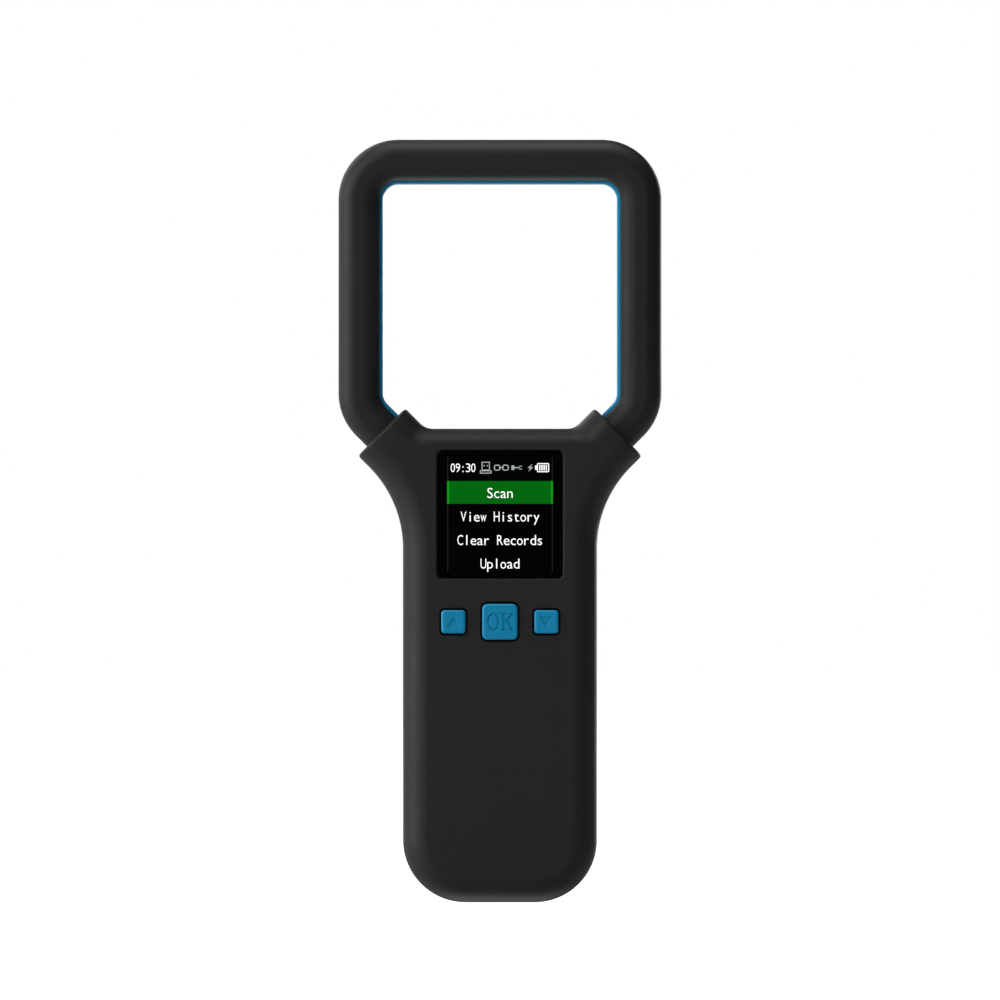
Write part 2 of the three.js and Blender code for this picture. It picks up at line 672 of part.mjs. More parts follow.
add('window', windowPlate(0, WINDOW_FACE, WINDOW_BACK), glass);
add('window_adhesive', windowPlate(
  FIT, WINDOW_BACK, WINDOW_BACK + ADHESIVE_THICK,
  [roundedRectangle(
    WINDOW_WIDTH - 2 * ADHESIVE_RIM + FIT, WINDOW_HEIGHT - 2 * ADHESIVE_RIM + FIT, WINDOW_CORNER,
    0, WINDOW_MIDDLE).reverse()]), foam);

const screenBottom = SCREEN_TOP - SCREEN_HEIGHT;
const cellLedge = 5;
add('display_cell', join(
  block(
    -SCREEN_WIDTH / 2, SCREEN_FACE, screenBottom + cellLedge,
    SCREEN_WIDTH / 2, SCREEN_MIDDLE, SCREEN_TOP),
  block(
    -SCREEN_WIDTH / 2, SCREEN_FACE + CELL_THICK / 2, screenBottom,
    SCREEN_WIDTH / 2, SCREEN_MIDDLE, screenBottom + cellLedge),
), screenGlass);
add('backlight', block(
  -SCREEN_WIDTH / 2, SCREEN_MIDDLE, screenBottom + cellLedge,
  SCREEN_WIDTH / 2, SCREEN_BACK, SCREEN_TOP), white);

const ribbonReach = 4;
const padMargin = 2;
add('display_foam', block(
  padMargin - SCREEN_WIDTH / 2, SCREEN_BACK, screenBottom + ribbonReach + padMargin,
  SCREEN_WIDTH / 2 - padMargin, BOARD_FACE, BOARD_TOP - padMargin), foam);

/** The screen's ribbon: from the back of the cell's ledge, round below it, to the board. */
function displayFlex() {
  const thick = 0.2;
  const half = 5;
  const front = SCREEN_MIDDLE;
  const radius = (BOARD_FACE - front) / 2;
  const middle = (BOARD_FACE + front) / 2;
  const bend = screenBottom - PLAY;
  const outer = [
    new THREE.Vector2(front, screenBottom + ribbonReach),
    ...arc(middle, bend, radius, Math.PI, 2 * Math.PI),
    new THREE.Vector2(BOARD_FACE, screenBottom + ribbonReach),
  ];
  const inner = [
    new THREE.Vector2(BOARD_FACE - thick, screenBottom + ribbonReach),
    ...arc(middle, bend, radius - thick, 2 * Math.PI, Math.PI),
    new THREE.Vector2(front + thick, screenBottom + ribbonReach),
  ];
  const geometry = new THREE.ExtrudeGeometry(
    new THREE.Shape([...outer, ...inner]), { depth: 2 * half, bevelEnabled: false });
  const turn = new THREE.Matrix4().makeBasis(
    new THREE.Vector3(0, 1, 0), new THREE.Vector3(0, 0, 1), new THREE.Vector3(1, 0, 0));
  return geometry.applyMatrix4(turn).translate(-half, 0, 0);
}

add('display_flex', displayFlex(), amber);

// ---------------------------------------------------------------- keys and switches

/** The engraved triangle of a key, pointing up (1) or down (-1). */
function triangleIcon(x, size, point) {
  const half = size * 0.32;
  const rise = size * 0.24;
  const outline = [
    new THREE.Vector2(x - half, KEYS_HEIGHT - rise * point),
    new THREE.Vector2(x + half, KEYS_HEIGHT - rise * point),
    new THREE.Vector2(x, KEYS_HEIGHT + rise * point),
  ];
  return slab(point > 0 ? outline : outline.reverse(), 2 * FACE, KEY_FACE + ICON_DEPTH);
}

/** A keycap: bevelled at the front, with a retaining flange behind the wall. */
function keycap({ x, size: [width, height, corner], point }) {
  const stem = slab(
    roundedRectangle(width, height, corner, x, KEYS_HEIGHT), KEY_FACE + KEY_BEVEL, FLANGE_BACK);
  const face = rolledSlab(
    roundedRectangle(width, height, corner, x, KEYS_HEIGHT),
    KEY_FACE, KEY_FACE + 4 * KEY_BEVEL, KEY_BEVEL, 2 * KEY_BEVEL, 2);
  const flange = slab(
    roundedRectangle(width + 2 * KEY_FLANGE, height + 2 * KEY_FLANGE, corner, x, KEYS_HEIGHT),
    FLANGE_FACE, FLANGE_BACK);
  const cap = join(stem, face, flange);
  return point ? cut(cap, triangleIcon(x, width, point)) : cap;
}

/** A tactile switch's body, bored for its plunger. */
function switchBody({ x }) {
  const half = SWITCH_SIZE / 2;
  const bottom = FLANGE_BACK + plungerLength() + KEY_TRAVEL + FIT;
  return cut(
    block(x - half, SWITCH_FACE, KEYS_HEIGHT - half, x + half, BOARD_FACE, KEYS_HEIGHT + half),
    post(x, KEYS_HEIGHT, PLUNGER_RADIUS + FIT, SWITCH_FACE - FIT, bottom));
}

/** A plunger reaches from the back of its keycap into the switch. */
function plungerLength() {
  return SWITCH_FACE + PLUNGER_SUNK - FLANGE_BACK;
}

keys.forEach((key) => {
  add(`${key.name}_key`, keycap(key), blue);
  add(`${key.name}_switch_body`, switchBody(key), chipBlack);
  add(`${key.name}_plunger`, post(
    key.x, KEYS_HEIGHT, PLUNGER_RADIUS, FLANGE_BACK, FLANGE_BACK + plungerLength()), white);
});

// ---------------------------------------------------------------- circuit board

/** The board: wide behind the screen and keys, with a narrow tongue down to the socket. */
function mainBoard() {
  const half = BOARD_WIDTH / 2;
  const tongue = BOARD_TONGUE_WIDTH / 2;
  const outline = mirrored([
    new THREE.Vector2(tongue, SIDE_WALL + BOARD_END_GAP),
    new THREE.Vector2(tongue, BOARD_SHOULDER),
    new THREE.Vector2(half, BOARD_SHOULDER),
    new THREE.Vector2(half, BOARD_TOP),
  ]);
  const holes = boardScrews.map(({ x, z }) =>
    post(x, z, BOARD_SCREW_RADIUS + FIT, BOARD_FACE - FIT, BOARD_BACK + FIT, 8));
  return cut(slab(outline, BOARD_FACE, BOARD_BACK), ...holes);
}

/** Adds a component on the back of the board, `down` from the board's top to its middle. */
function component(name, [x, down], [width, height, thick], skin) {
  const z = BOARD_TOP - down;
  add(name, block(
    x - width / 2, BOARD_BACK, z - height / 2,
    x + width / 2, BOARD_BACK + thick, z + height / 2), skin);
}

add('main_board', mainBoard(), boardGreen);
component('controller_chip', [-1.5, 21.4], [7, 7, 0.9], chipBlack);
component('reader_chip', [-2, 10.4], [6.2, 5.2, 1.5], chipBlack);
component('radio_module', [-11, 9.4], [10, 13, 2], steel);
component('boost_inductor', [12, 27.4], [4, 4, 2], chipBlack);
component('crystal', [5.5, 24.4], [3.2, 2.5, 0.8], steel);
add('buzzer', post(
  BUZZER_PLACE[0], BOARD_TOP - BUZZER_PLACE[1], BUZZER_RADIUS,
  BOARD_BACK, BOARD_BACK + BUZZER_HEIGHT, 20), chipBlack);

/** The socket: a steel sleeve closed behind, with a contact tongue standing in it. */
function usbSocket() {
  const sleeve = (width, height, from, to) => {
    const outline = roundedRectangle(width, height, height / 2 - USB_WALL / 2);
    const geometry = new THREE.ExtrudeGeometry(
      new THREE.Shape(outline), { depth: to - from, bevelEnabled: false });
    return solid(geometry.translate(0, 0, from));
  };
  const top = USB_RECESS + USB_LENGTH;
  const floor = top - 1;
  const [width, thick, length] = USB_TONGUE;
  const shell = cut(
    sleeve(USB_WIDTH, USB_HEIGHT, USB_RECESS, top),
    sleeve(USB_WIDTH - 2 * USB_WALL, USB_HEIGHT - 2 * USB_WALL, 0, floor));
  const tongue = block(
    -width / 2, -thick / 2, floor - length, width / 2, thick / 2, floor + FIT);
  return join(shell, tongue);
}

add('usb_socket', usbSocket(), steel);

// ---------------------------------------------------------------- battery and leads

/** The pouch cell, soft at its corners. */
function batteryCell() {
  const middle = BATTERY_BOTTOM + BATTERY_LENGTH / 2;
  return rolledSlab(
    roundedRectangle(BATTERY_WIDTH, BATTERY_LENGTH, 2, 0, middle),
    BATTERY_FACE, BATTERY_BACK, 1.5, BATTERY_THICK / 3, 3);
}

add('battery_cell', batteryCell(), cellFoil);
const padInset = 4;
add('battery_foam', block(
  padInset - BATTERY_WIDTH / 2, BATTERY_BACK, BATTERY_BOTTOM + padInset,
  BATTERY_WIDTH / 2 - padInset, INNER_BACK, BATTERY_TOP - padInset), foam);

const socketPlace = [-11, 23.4];
const socketSize = [6, 4, 3.4];
const plugLength = 3;
component('battery_socket', socketPlace, socketSize, white);
const plugTop = BOARD_TOP - socketPlace[1] - socketSize[1] / 2;
const plugMiddle = BOARD_BACK + socketSize[2] / 2;
add('battery_plug', block(
  socketPlace[0] - 2.4, plugMiddle - 1.2, plugTop - plugLength,
  socketPlace[0] + 2.4, plugMiddle + 1.2, plugTop), white);

/** A battery lead, from the top of the cell to the plug. */
function batteryLead(shift) {
  const cellMiddle = (BATTERY_FACE + BATTERY_BACK) / 2;
  const end = plugTop - plugLength - PLAY;
  const x = socketPlace[0] + shift;
  return wire([
    [x + 3, cellMiddle - shift, BATTERY_TOP + PLAY],
    [x + 2.6, cellMiddle - shift, BATTERY_TOP + 2.4],
    [x + 0.4, plugMiddle + 1, end - 1.6],
    [x, plugMiddle, end],
  ], LEAD_RADIUS, 12);
}

add('battery_lead_red', batteryLead(-1), leadRed);
add('battery_lead_black', batteryLead(1), leadBlack);

// ---------------------------------------------------------------- coil leads

const coilSocketPlace = [9, 4.9];
const coilSocketSize = [5, 3, 2.6];
component('coil_connector', coilSocketPlace, coilSocketSize, white);

/** A lead from the crossing of the winding down to the connector. */
function coilLead(shift) {
  const crossing = HANDLE_LENGTH - CROSSING_BELOW_SADDLE - COIL_WIDTH / 2;
  const x = coilSocketPlace[0] + shift;
  const y = COIL_DEPTH / 2 + FORMER_FLANGE + FIT + PLAY + LEAD_RADIUS;
  const top = BOARD_TOP - coilSocketPlace[1] + coilSocketSize[1] / 2;
  const socketY = BOARD_BACK + coilSocketSize[2] / 2;
  return wire([
    [x * 0.8, y, crossing + COIL_WIDTH / 2],
    [x * 0.85, y, crossing - COIL_WIDTH / 2],
    [x * 0.95, y / 2 + socketY / 2, top + 1.6],
    [x, socketY, top + PLAY],
  ], LEAD_RADIUS * 0.7, 10);
}

add('coil_lead_start', coilLead(-1.2), copper);
add('coil_lead_end', coilLead(1.2), copper);

export default scanner;
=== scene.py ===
"""A hand-held microchip scanner: a black handle with a screen and three blue keys, and a loop
aerial held between the handle's two ears. Its visible pieces are surfaces worked out with
numpy, in metres, upright along Z with the front towards -Y."""

import math

import bmesh
import bpy
import numpy as np
from bpy.props import FloatProperty, FloatVectorProperty, PointerProperty, StringProperty
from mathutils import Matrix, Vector
from mathutils.geometry import tessellate_polygon


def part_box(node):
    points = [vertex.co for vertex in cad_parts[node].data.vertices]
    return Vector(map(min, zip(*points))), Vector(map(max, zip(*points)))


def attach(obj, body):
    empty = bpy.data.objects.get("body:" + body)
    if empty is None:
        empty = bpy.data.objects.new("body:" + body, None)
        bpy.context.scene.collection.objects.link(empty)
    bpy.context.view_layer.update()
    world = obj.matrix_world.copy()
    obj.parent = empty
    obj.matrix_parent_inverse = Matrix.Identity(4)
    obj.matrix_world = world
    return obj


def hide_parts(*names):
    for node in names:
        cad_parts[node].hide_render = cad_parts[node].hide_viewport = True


bl_info = {
    "name": "Microchip Scanner",
    "version": (1, 0, 0),
    "blender": (4, 5, 0),
    "location": "View3D > Sidebar > Scanner",
    "description": "Builds a hand-held microchip scanner round its fixed frame",
    "category": "Add Mesh",
}

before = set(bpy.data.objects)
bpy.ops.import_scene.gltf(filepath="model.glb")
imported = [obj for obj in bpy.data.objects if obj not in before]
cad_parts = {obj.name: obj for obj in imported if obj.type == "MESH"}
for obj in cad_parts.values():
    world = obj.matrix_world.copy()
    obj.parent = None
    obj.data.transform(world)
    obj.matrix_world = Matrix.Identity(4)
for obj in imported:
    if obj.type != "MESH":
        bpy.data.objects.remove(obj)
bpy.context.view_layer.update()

QUARTER = math.pi / 2
WELD = 1e-6  # points nearer than this are one point
SHEET = 0.00001  # thickness of the picture's thin plates
SOCKET_PLAY = 0.0003  # room round the charging socket
MOUTH_DEPTH = 0.003  # how deep an ear's mouth goes
ARM_SHORT = 0.0001  # how much short of the mouth's floor an arm ends
SEAM_ROWS = 4  # rows of the rounded edge's profile that make the seam's chamfer
SLOT_COLUMN = 4  # column of the flank's points that lies at the side of the socket's slot
WHITE = (1.0, 1.0, 1.0, 1.0)


# ---------------------------------------------------------------- sizes and colours


def length(name, description, default, low=0.0, high=0.3):
    """A length property in metres."""
    return FloatProperty(
        name=name, description=description, default=default, min=low, max=high,
        precision=5, subtype="DISTANCE", unit="LENGTH")


def tint(name, description, default):
    """A colour property, in linear light."""
    return FloatVectorProperty(
        name=name, description=description, default=default, size=3, min=0.0, max=1.0,
        subtype="COLOR")


class HandleSizes(bpy.types.PropertyGroup):
    """The handle's outline, its rounded edges and its ears."""

    width: length("Width", "Across the grip", 0.0463)
    length: length("Length", "From the bottom end to the saddle between the ears", 0.113)
    corner: length("Bottom corner", "Radius of the bottom corners", 0.0148)
    roll: length("Edge width", "How far in the rounded edge reaches, seen from the front", 0.006)
    saddle_roll: length("Saddle edge width", "The same at the middle of the saddle", 0.0037)
    belt: length("Belt", "Height of the straight side between the rounded edges", 0.005)
    neck: length("Neck", "Radius of the hollow curve below the ears", 0.0275)
    saddle: length("Saddle curve", "Radius where the saddle turns up to the ears", 0.0042)
    ear_wall: length("Ear wall", "Between the loop's arm and the ear's side", 0.0031)
    ear_drop: length("Ear drop", "Middle of an ear's end below the saddle", 0.0008)
    ear_edge: length("Ear edge", "Radius of the edge round an ear's end", 0.0008)
    seam: length("Seam", "Depth of the fine groove between the shells", 0.00018)


class LoopSizes(bpy.types.PropertyGroup):
    """The loop aerial's band and its liner."""

    band: length("Band", "Width of the loop's band", 0.0098)
    corner: length("Corner", "Outer radius of the loop's corners", 0.0143)
    roll: length("Edge width", "How far in the rounded edges reach", 0.004)
    belt: length("Belt", "Height of the straight sides", 0.003)
    showing: length("Arm showing", "Straight arm between the corner and the ear", 0.00375)
    play: length("Gap", "Between an arm and the ear's mouth", 0.00015)
    proud: length("Liner", "How far the liner stands inside the band", 0.0008)


class KeySizes(bpy.types.PropertyGroup):
    """The keycaps and the openings round them."""

    opening: length("Opening", "How far an opening stands off the frame's cap", 0.0003)
    side_gap: length("Side gap", "Between a cap and its opening, left and right", 0.00039)
    end_gap: length("End gap", "Between a cap and its opening, above and below", 0.00046)
    flange: length("Flange", "How far the hidden flange reaches past the cap", 0.001)
    small_corner: length("Small corner", "Corner radius of the small keys", 0.0008)
    middle_corner: length("Middle corner", "Corner radius of the middle key", 0.0013)
    edge: length("Edge", "Radius of a cap's front edge", 0.0006)
    sign_depth: length("Sign depth", "Depth of the engraved signs", 0.00024)
    slant: length("Slant", "Width of the slanting walls round the signs", 0.0002)


class ScreenSizes(bpy.types.PropertyGroup):
    """The window, its recess and the picture behind it."""

    corner: length("Corner", "Corner radius of the window", 0.0014)
    gap: length("Gap", "Between the window and its recess", 0.0001)
    lip: length("Lip", "Radius of the recess's front edge", 0.00036)
    picture_width: length("Picture width", "Width of the lit area", 0.0252)
    row: length("Row", "From one menu row to the next", 0.0056)
    chosen_row: length("Chosen row", "Height of the green row", 0.0054)
    letters: length("Letters", "Height of the menu's capitals", 0.00245)
    clock_digits: length("Clock digits", "Height of the clock's digits", 0.0021)
    clock: StringProperty(name="Clock", description="Time in the status bar", default="09:30")


class FinishColours(bpy.types.PropertyGroup):
    """The colours of the finishes."""

    black: tint("Black plastic", "Shells of the handle and the loop", (0.0092, 0.0092, 0.0094))
    blue: tint("Blue plastic", "Keys and the loop's liner", (0.001, 0.205, 0.390))
    green: tint("Menu row", "Chosen row of the menu", (0.0, 0.140, 0.004))


class StageSettings(bpy.types.PropertyGroup):
    """The camera, the floor and the lights."""

    distance: length("Camera distance", "From the camera to the scanner", 3.0, 0.5, 20.0)
    view_width: length("View width", "Width that the camera sees", 0.23885, 0.05, 2.0)
    aim: length("Aim height", "Height of the camera and of what it looks at", 0.096)


SETTINGS = {
    "scanner_handle": HandleSizes,
    "scanner_loop": LoopSizes,
    "scanner_keys": KeySizes,
    "scanner_screen": ScreenSizes,
    "scanner_colours": FinishColours,
    "scanner_stage": StageSettings,
}


# ---------------------------------------------------------------- finishes


def add_node(tree, kind, sockets=None, output=0, **settings):
    """A node of one type: its settings are set first, then its sockets get values or links.
    Gives one of its outputs, by number or name."""
    node = tree.nodes.new(kind)
    for key, value in settings.items():
        setattr(node, key, value)
    for key, value in (sockets or {}).items():
        if isinstance(value, Value):
            tree.links.new(value.socket, node.inputs[key])
        else:
            node.inputs[key].default_value = value
    return Value(tree, node.outputs[output]) if node.outputs else None


class Value:
    """A shader socket that can be added, subtracted, multiplied and compared."""

    def __init__(self, tree, socket):
        self.tree, self.socket = tree, socket

    def math(self, operation, *terms):
        """A Math node over the terms."""
        return add_node(
            self.tree, "ShaderNodeMath", dict(enumerate(terms)), operation=operation)

    def __add__(self, other):
        return self.math("ADD", self, other)

    __radd__ = __add__

    def __sub__(self, other):
        return self.math("SUBTRACT", self, other)

    def __rsub__(self, other):
        return self.math("SUBTRACT", other, self)

    def __mul__(self, other):
        return self.math("MULTIPLY", self, other)

    __rmul__ = __mul__

    def __abs__(self):
        return self.math("ABSOLUTE", self)

    def sine(self):
        """The sine of the value."""
        return self.math("SINE", self)

    def above(self, other):
        """1 where the value is above the other, else 0."""
        return self.math("GREATER_THAN", self, other)

    def held(self):
        """The value kept between 0 and 1."""
        return add_node(self.tree, "ShaderNodeClamp", {"Value": self})


class Finish:
    """A material made of one Principled shader and what varies over the surface."""

    def __init__(self, name, **constants):
        self.material = bpy.data.materials.new(name)
        self.material.use_nodes = True
        self.tree = self.material.node_tree
        self.tree.nodes.clear()
        self.skin = self.node("ShaderNodeBsdfPrincipled", {
            socket.replace("_", " "): (*value, 1.0) if isinstance(value, tuple) else value
            for socket, value in constants.items()})
        self.output = self.tree.nodes.new("ShaderNodeOutputMaterial")
        self.tree.links.new(self.skin.socket, self.output.inputs["Surface"])
        self.place = self.node("ShaderNodeTexCoord", output="Object")

    def node(self, kind, sockets=None, output=0, **settings):
        """A node in this material."""
        return add_node(self.tree, kind, sockets, output, **settings)

    def noise(self, size, detail=2.0, stretch=(1, 1, 1)):
        """Cloudy noise whose blobs are about `size` metres across."""
        scaled = self.node(
            "ShaderNodeMapping", {"Vector": self.place, "Scale": tuple(s / size for s in stretch)})
        return self.node(
            "ShaderNodeTexNoise", {"Vector": scaled, "Scale": 1.0, "Detail": detail})

    def blend(self, factor, first, second):
        """A colour that goes from the first to the second as the factor goes from 0 to 1."""
        first, second = (
            end if isinstance(end, Value) else (*end, 1.0) for end in (first, second))
        return self.node(
            "ShaderNodeMix", {0: factor, 6: first, 7: second}, output=2, data_type="RGBA")

    def drive(self, socket, value):
        """Feeds a value that varies into one of the shader's sockets."""
        self.tree.links.new(value.socket, self.skin.socket.node.inputs[socket])

    def glow_to_the_eye(self, strength):
        """Adds even white light that the camera sees and that falls on nothing else."""
        glow = self.node("ShaderNodeEmission", {"Strength": strength})
        both = self.node("ShaderNodeAddShader", {0: self.skin, 1: glow})
        eye = self.node("ShaderNodeLightPath", output="Is Camera Ray")
        mix = self.node("ShaderNodeMixShader", {0: eye, 1: self.skin, 2: both})
        self.tree.links.new(mix.socket, self.output.inputs["Surface"])

    def relief(self, height, depth):
        """Turns a height from 0 to 1 into bumps `depth` metres high."""
        self.drive("Normal", self.node(
            "ShaderNodeBump", {"Height": height, "Distance": depth, "Strength": 1.0}))


def shade(colour, factor):
    """A colour made lighter or darker."""
    return tuple(min(1.0, max(0.0, c * factor)) for c in colour)


def moulded(name, colour, rough, grain=0.00022, depth=0.000012, specular=0.25):
    """Moulded plastic: spark-eroded grain, cloudy gloss and fine handling marks."""
    skin = Finish(name, Specular_IOR_Level=specular)
    fine = skin.noise(grain, 3.0)
    broad = skin.noise(0.012, 3.0)
    marks = skin.noise(0.0009, 2.0, (1.0, 1.0, 0.06))
    rub = ((marks - 0.62) * 9.0).held() * broad
    skin.drive("Base Color", skin.blend(
        (broad * 0.7 + fine * 0.3).held(), shade(colour, 0.86), shade(colour, 1.16)))
    skin.drive("Roughness", rough + (broad - 0.5) * 0.16 + (fine - 0.5) * 0.10 - rub * 0.10)
    skin.relief(fine + skin.noise(grain * 4.1, 1.0) * 0.6, depth)
    return skin.material


def brushed(name, colour, rough=0.28, metallic=1.0):
    """Plated metal with fine drawn lines and dull patches."""
    skin = Finish(name, Metallic=metallic)
    lines = skin.noise(0.0002, 3.0, (1.0, 1.0, 0.05))
    dull = skin.noise(0.003, 3.0)
    skin.drive("Base Color", skin.blend(dull, shade(colour, 0.82), shade(colour, 1.08)))
    skin.drive("Roughness", rough + (dull - 0.5) * 0.25 + (lines - 0.5) * 0.12)
    skin.relief(lines, 0.000004)
    return skin.material


def black_glass():
    """Printed cover glass: a deep black gloss with faint smears."""
    skin = Finish("cover_glass", Specular_IOR_Level=0.3, IOR=1.5)
    smear = skin.noise(0.004, 4.0, (1.0, 1.0, 0.35))
    skin.drive("Base Color", skin.blend(smear, (0.0001, 0.0001, 0.0002), (0.0006, 0.0006, 0.0007)))
    skin.drive("Roughness", 0.05 + ((smear - 0.5) * 2.0).held() * 0.10)
    return skin.material


def lit(name, colour, strength=1.0, ends=0.0):
    """Light from the screen behind the glass; `ends` brightens it towards the two sides."""
    skin = Finish(name, Specular_IOR_Level=0.45, Roughness=0.05, Emission_Strength=strength)
    cells = skin.noise(0.0002, 1.0)
    light = skin.blend(cells, shade(colour, 0.94), shade(colour, 1.0))
    if ends:
        x = skin.node("ShaderNodeSeparateXYZ", {"Vector": skin.place}, "X")
        light = skin.blend(abs(x).above(ends), light, (0.006, 0.30, 0.008))
    skin.drive("Emission Color", light)
    skin.drive("Base Color", skin.blend(cells, (0.0, 0.0, 0.0), (0.0008, 0.0008, 0.0008)))
    return skin.material


def board_lacquer():
    """Green solder lacquer over raised tracks, with bare pads."""
    skin = Finish("board_lacquer", Roughness=0.35)
    tracks = skin.node("ShaderNodeTexBrick", {
        "Vector": skin.place, "Scale": 260.0, "Mortar Size": 0.035,
        "Color1": (0, 0, 0, 1), "Color2": (0, 0, 0, 1), "Mortar": (1, 1, 1, 1)}, "Fac")
    cloud = skin.noise(0.006, 2.0)
    skin.drive("Base Color", skin.blend(
        (tracks * 0.7 + cloud * 0.3).held(), (0.006, 0.070, 0.026), (0.016, 0.135, 0.050)))
    skin.drive("Roughness", 0.28 + cloud * 0.18)
    skin.relief(tracks, 0.00003)
    return skin.material


def foam(name, colour):
    """Open foam: matt, with small cells."""
    skin = Finish(name, Roughness=0.95)
    cells = skin.node("ShaderNodeTexVoronoi", {"Vector": skin.place, "Scale": 3200.0}, "Distance")
    skin.drive("Base Color", skin.blend(cells.held(), shade(colour, 0.5), shade(colour, 1.4)))
    skin.drive("Roughness", 0.9 + cells * 0.1)
    skin.relief(cells, 0.00006)
    return skin.material


def winding(name, colour):
    """Enamelled wire laid turn on turn: a sine of the depth, one wave for each turn."""
    pitch = 0.00025
    skin = Finish(name, Metallic=0.9, Coat_Weight=0.6, Coat_Roughness=0.12)
    depth = skin.node("ShaderNodeSeparateXYZ", {"Vector": skin.place}, "Y")
    turns = (depth * (2 * math.pi / pitch)).sine()
    cloud = skin.noise(0.004, 2.0)
    skin.drive("Base Color", skin.blend(
        (turns * 0.25 + cloud).held(), shade(colour, 0.7), shade(colour, 1.2)))
    skin.drive("Roughness", 0.26 + cloud * 0.14)
    skin.relief(turns * 0.5 + 0.5, 0.00004)
    return skin.material


def inner_finishes(colours):
    """The finish of each of the record's material slots, for the pieces that stay as they are."""
    return {
        "black_plastic": moulded("inner_black_plastic", tuple(colours.black), 0.5),
        "blue_plastic": moulded("inner_blue_plastic", tuple(colours.blue), 0.4),
        "black_glass": black_glass(),
        "screen_glass": brushed("polarising_film", (0.03, 0.034, 0.04), 0.22, 0.0),
        "white_plastic": moulded("natural_nylon", (0.72, 0.70, 0.64), 0.5, 0.0004),
        "circuit_board": board_lacquer(),
        "component_black": moulded("chip_resin", (0.014, 0.014, 0.015), 0.55, 0.00012),
        "plated_steel": brushed("plated_steel", (0.60, 0.61, 0.62)),
        "enamelled_copper": winding("enamelled_wire", (0.52, 0.19, 0.06)),
        "black_foam": foam("black_foam", (0.02, 0.02, 0.02)),
        "amber_film": brushed("amber_film", (0.42, 0.16, 0.03), 0.35, 0.0),
        "cell_foil": brushed("cell_foil", (0.62, 0.63, 0.65), 0.34, 0.9),
        "red_lead": moulded("red_lead_cover", (0.40, 0.014, 0.010), 0.4, 0.0003),
        "black_lead": moulded("black_lead_cover", (0.010, 0.010, 0.010), 0.4, 0.0003),
    }


# ---------------------------------------------------------------- surfaces


class Form:
    """Grids and flat fills gathered into one closed mesh."""

    def __init__(self):
        self.points, self.faces, self.count = [], [], 0

    def add(self, points, faces):
        """Further points and the faces between them, which count from the first of them."""
        self.points.append(points.reshape(-1, 3))
        self.faces.append(faces + self.count)
        self.count += len(self.points[-1])
        return self

    def grid(self, points):
        """A surface from a grid of points, rows by columns by three."""
        rows, columns = points.shape[:2]
        index = np.arange(rows * columns).reshape(rows, columns)
        quads = np.stack(
            [index[:-1, :-1], index[1:, :-1], index[1:, 1:], index[:-1, 1:]], axis=-1)
        return self.add(points, quads.reshape(-1, 4))

    def fill(self, *loops):
        """A flat sheet inside the first loop, with the further loops left open."""
        tidy = [open_loop(loop) for loop in loops]
        return self.add(
            np.vstack(tidy), np.array(tessellate_polygon([loop.tolist() for loop in tidy])))

    def tube(self, rings):
        """A closed piece from rings of points: the walls between them and both ends."""
        return self.grid(closed(rings)).fill(rings[0]).fill(rings[-1])

    def mirrored(self):
        """The form together with its mirror image across the plane x = 0."""
        self.faces += [faces + self.count for faces in self.faces]
        self.points += [points * [-1.0, 1.0, 1.0] for points in self.points]
        self.count *= 2
        return self

    def object(self, name, finish, sharp=30.0, cutter=None):
        """The mesh with its doubles merged, its holes closed and its faces turned outwards."""
        mesh = bpy.data.meshes.new(name)
        corners = [corners for faces in self.faces for corners in faces.tolist()]
        mesh.from_pydata(np.vstack(self.points).tolist(), [], corners)
        work = bmesh.new()
        work.from_mesh(mesh)
        bmesh.ops.remove_doubles(work, verts=work.verts, dist=WELD)
        bmesh.ops.dissolve_degenerate(work, edges=work.edges, dist=WELD / 10)
        rim = [edge for edge in work.edges if edge.is_boundary]
        if rim:
            bmesh.ops.holes_fill(work, edges=rim, sides=0)
        bmesh.ops.recalc_face_normals(work, faces=work.faces)
        work.to_mesh(mesh)
        work.free()
        piece = bpy.data.objects.new(name, mesh)
        bpy.context.scene.collection.objects.link(piece)
        if cutter is not None:
            carve(piece, cutter)
            mesh = piece.data
        mesh.materials.clear()
        mesh.materials.append(finish)
        mesh.shade_smooth()
        mesh.set_sharp_from_angle(angle=math.radians(sharp))
        return piece


def carve(piece, cutter):
    """Cuts one closed form out of a piece, and drops the cutting form."""
    tool = cutter.object(piece.name + "_tool", bpy.data.materials.new("tool"))
    cut = piece.modifiers.new("Cut", "BOOLEAN")
    cut.object, cut.operation, cut.solver = tool, "DIFFERENCE", "EXACT"
    state = bpy.context.evaluated_depsgraph_get()
    whole = bpy.data.meshes.new_from_object(piece.evaluated_get(state))
    piece.modifiers.clear()
    piece.data = whole
    bpy.data.objects.remove(tool, do_unlink=True)


def open_loop(loop):
    """A loop of points without neighbours that coincide."""
    apart = np.linalg.norm(loop - np.roll(loop, 1, axis=0), axis=1) > WELD
    return loop[apart]


def arc(centre, radius, first, last, steps):
    """Points of arcs about one centre: centre plus each radius times the cosine and sine."""
    angle = np.linspace(first, last, steps + 1)
    turn = np.stack([np.cos(angle), np.sin(angle)], axis=-1)
    return np.asarray(centre) + np.asarray(radius)[..., None, None] * turn


def upright(plan, depth):
    """Points seen from the front, (x, z), set at a depth y."""
    depth = np.broadcast_to(np.asarray(depth)[..., None], plan.shape[:-1])
    return np.stack([plan[..., 0], depth, plan[..., 1]], axis=-1)


def level(plan, height):
    """Rings of points seen from below, (x, y), each set at its height z."""
    return upright(plan, height)[..., [0, 2, 1]]


def middle_of(name):
    """The middle of a frame piece, seen from the front."""
    return np.mean(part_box(name), axis=0)[[0, 2]]


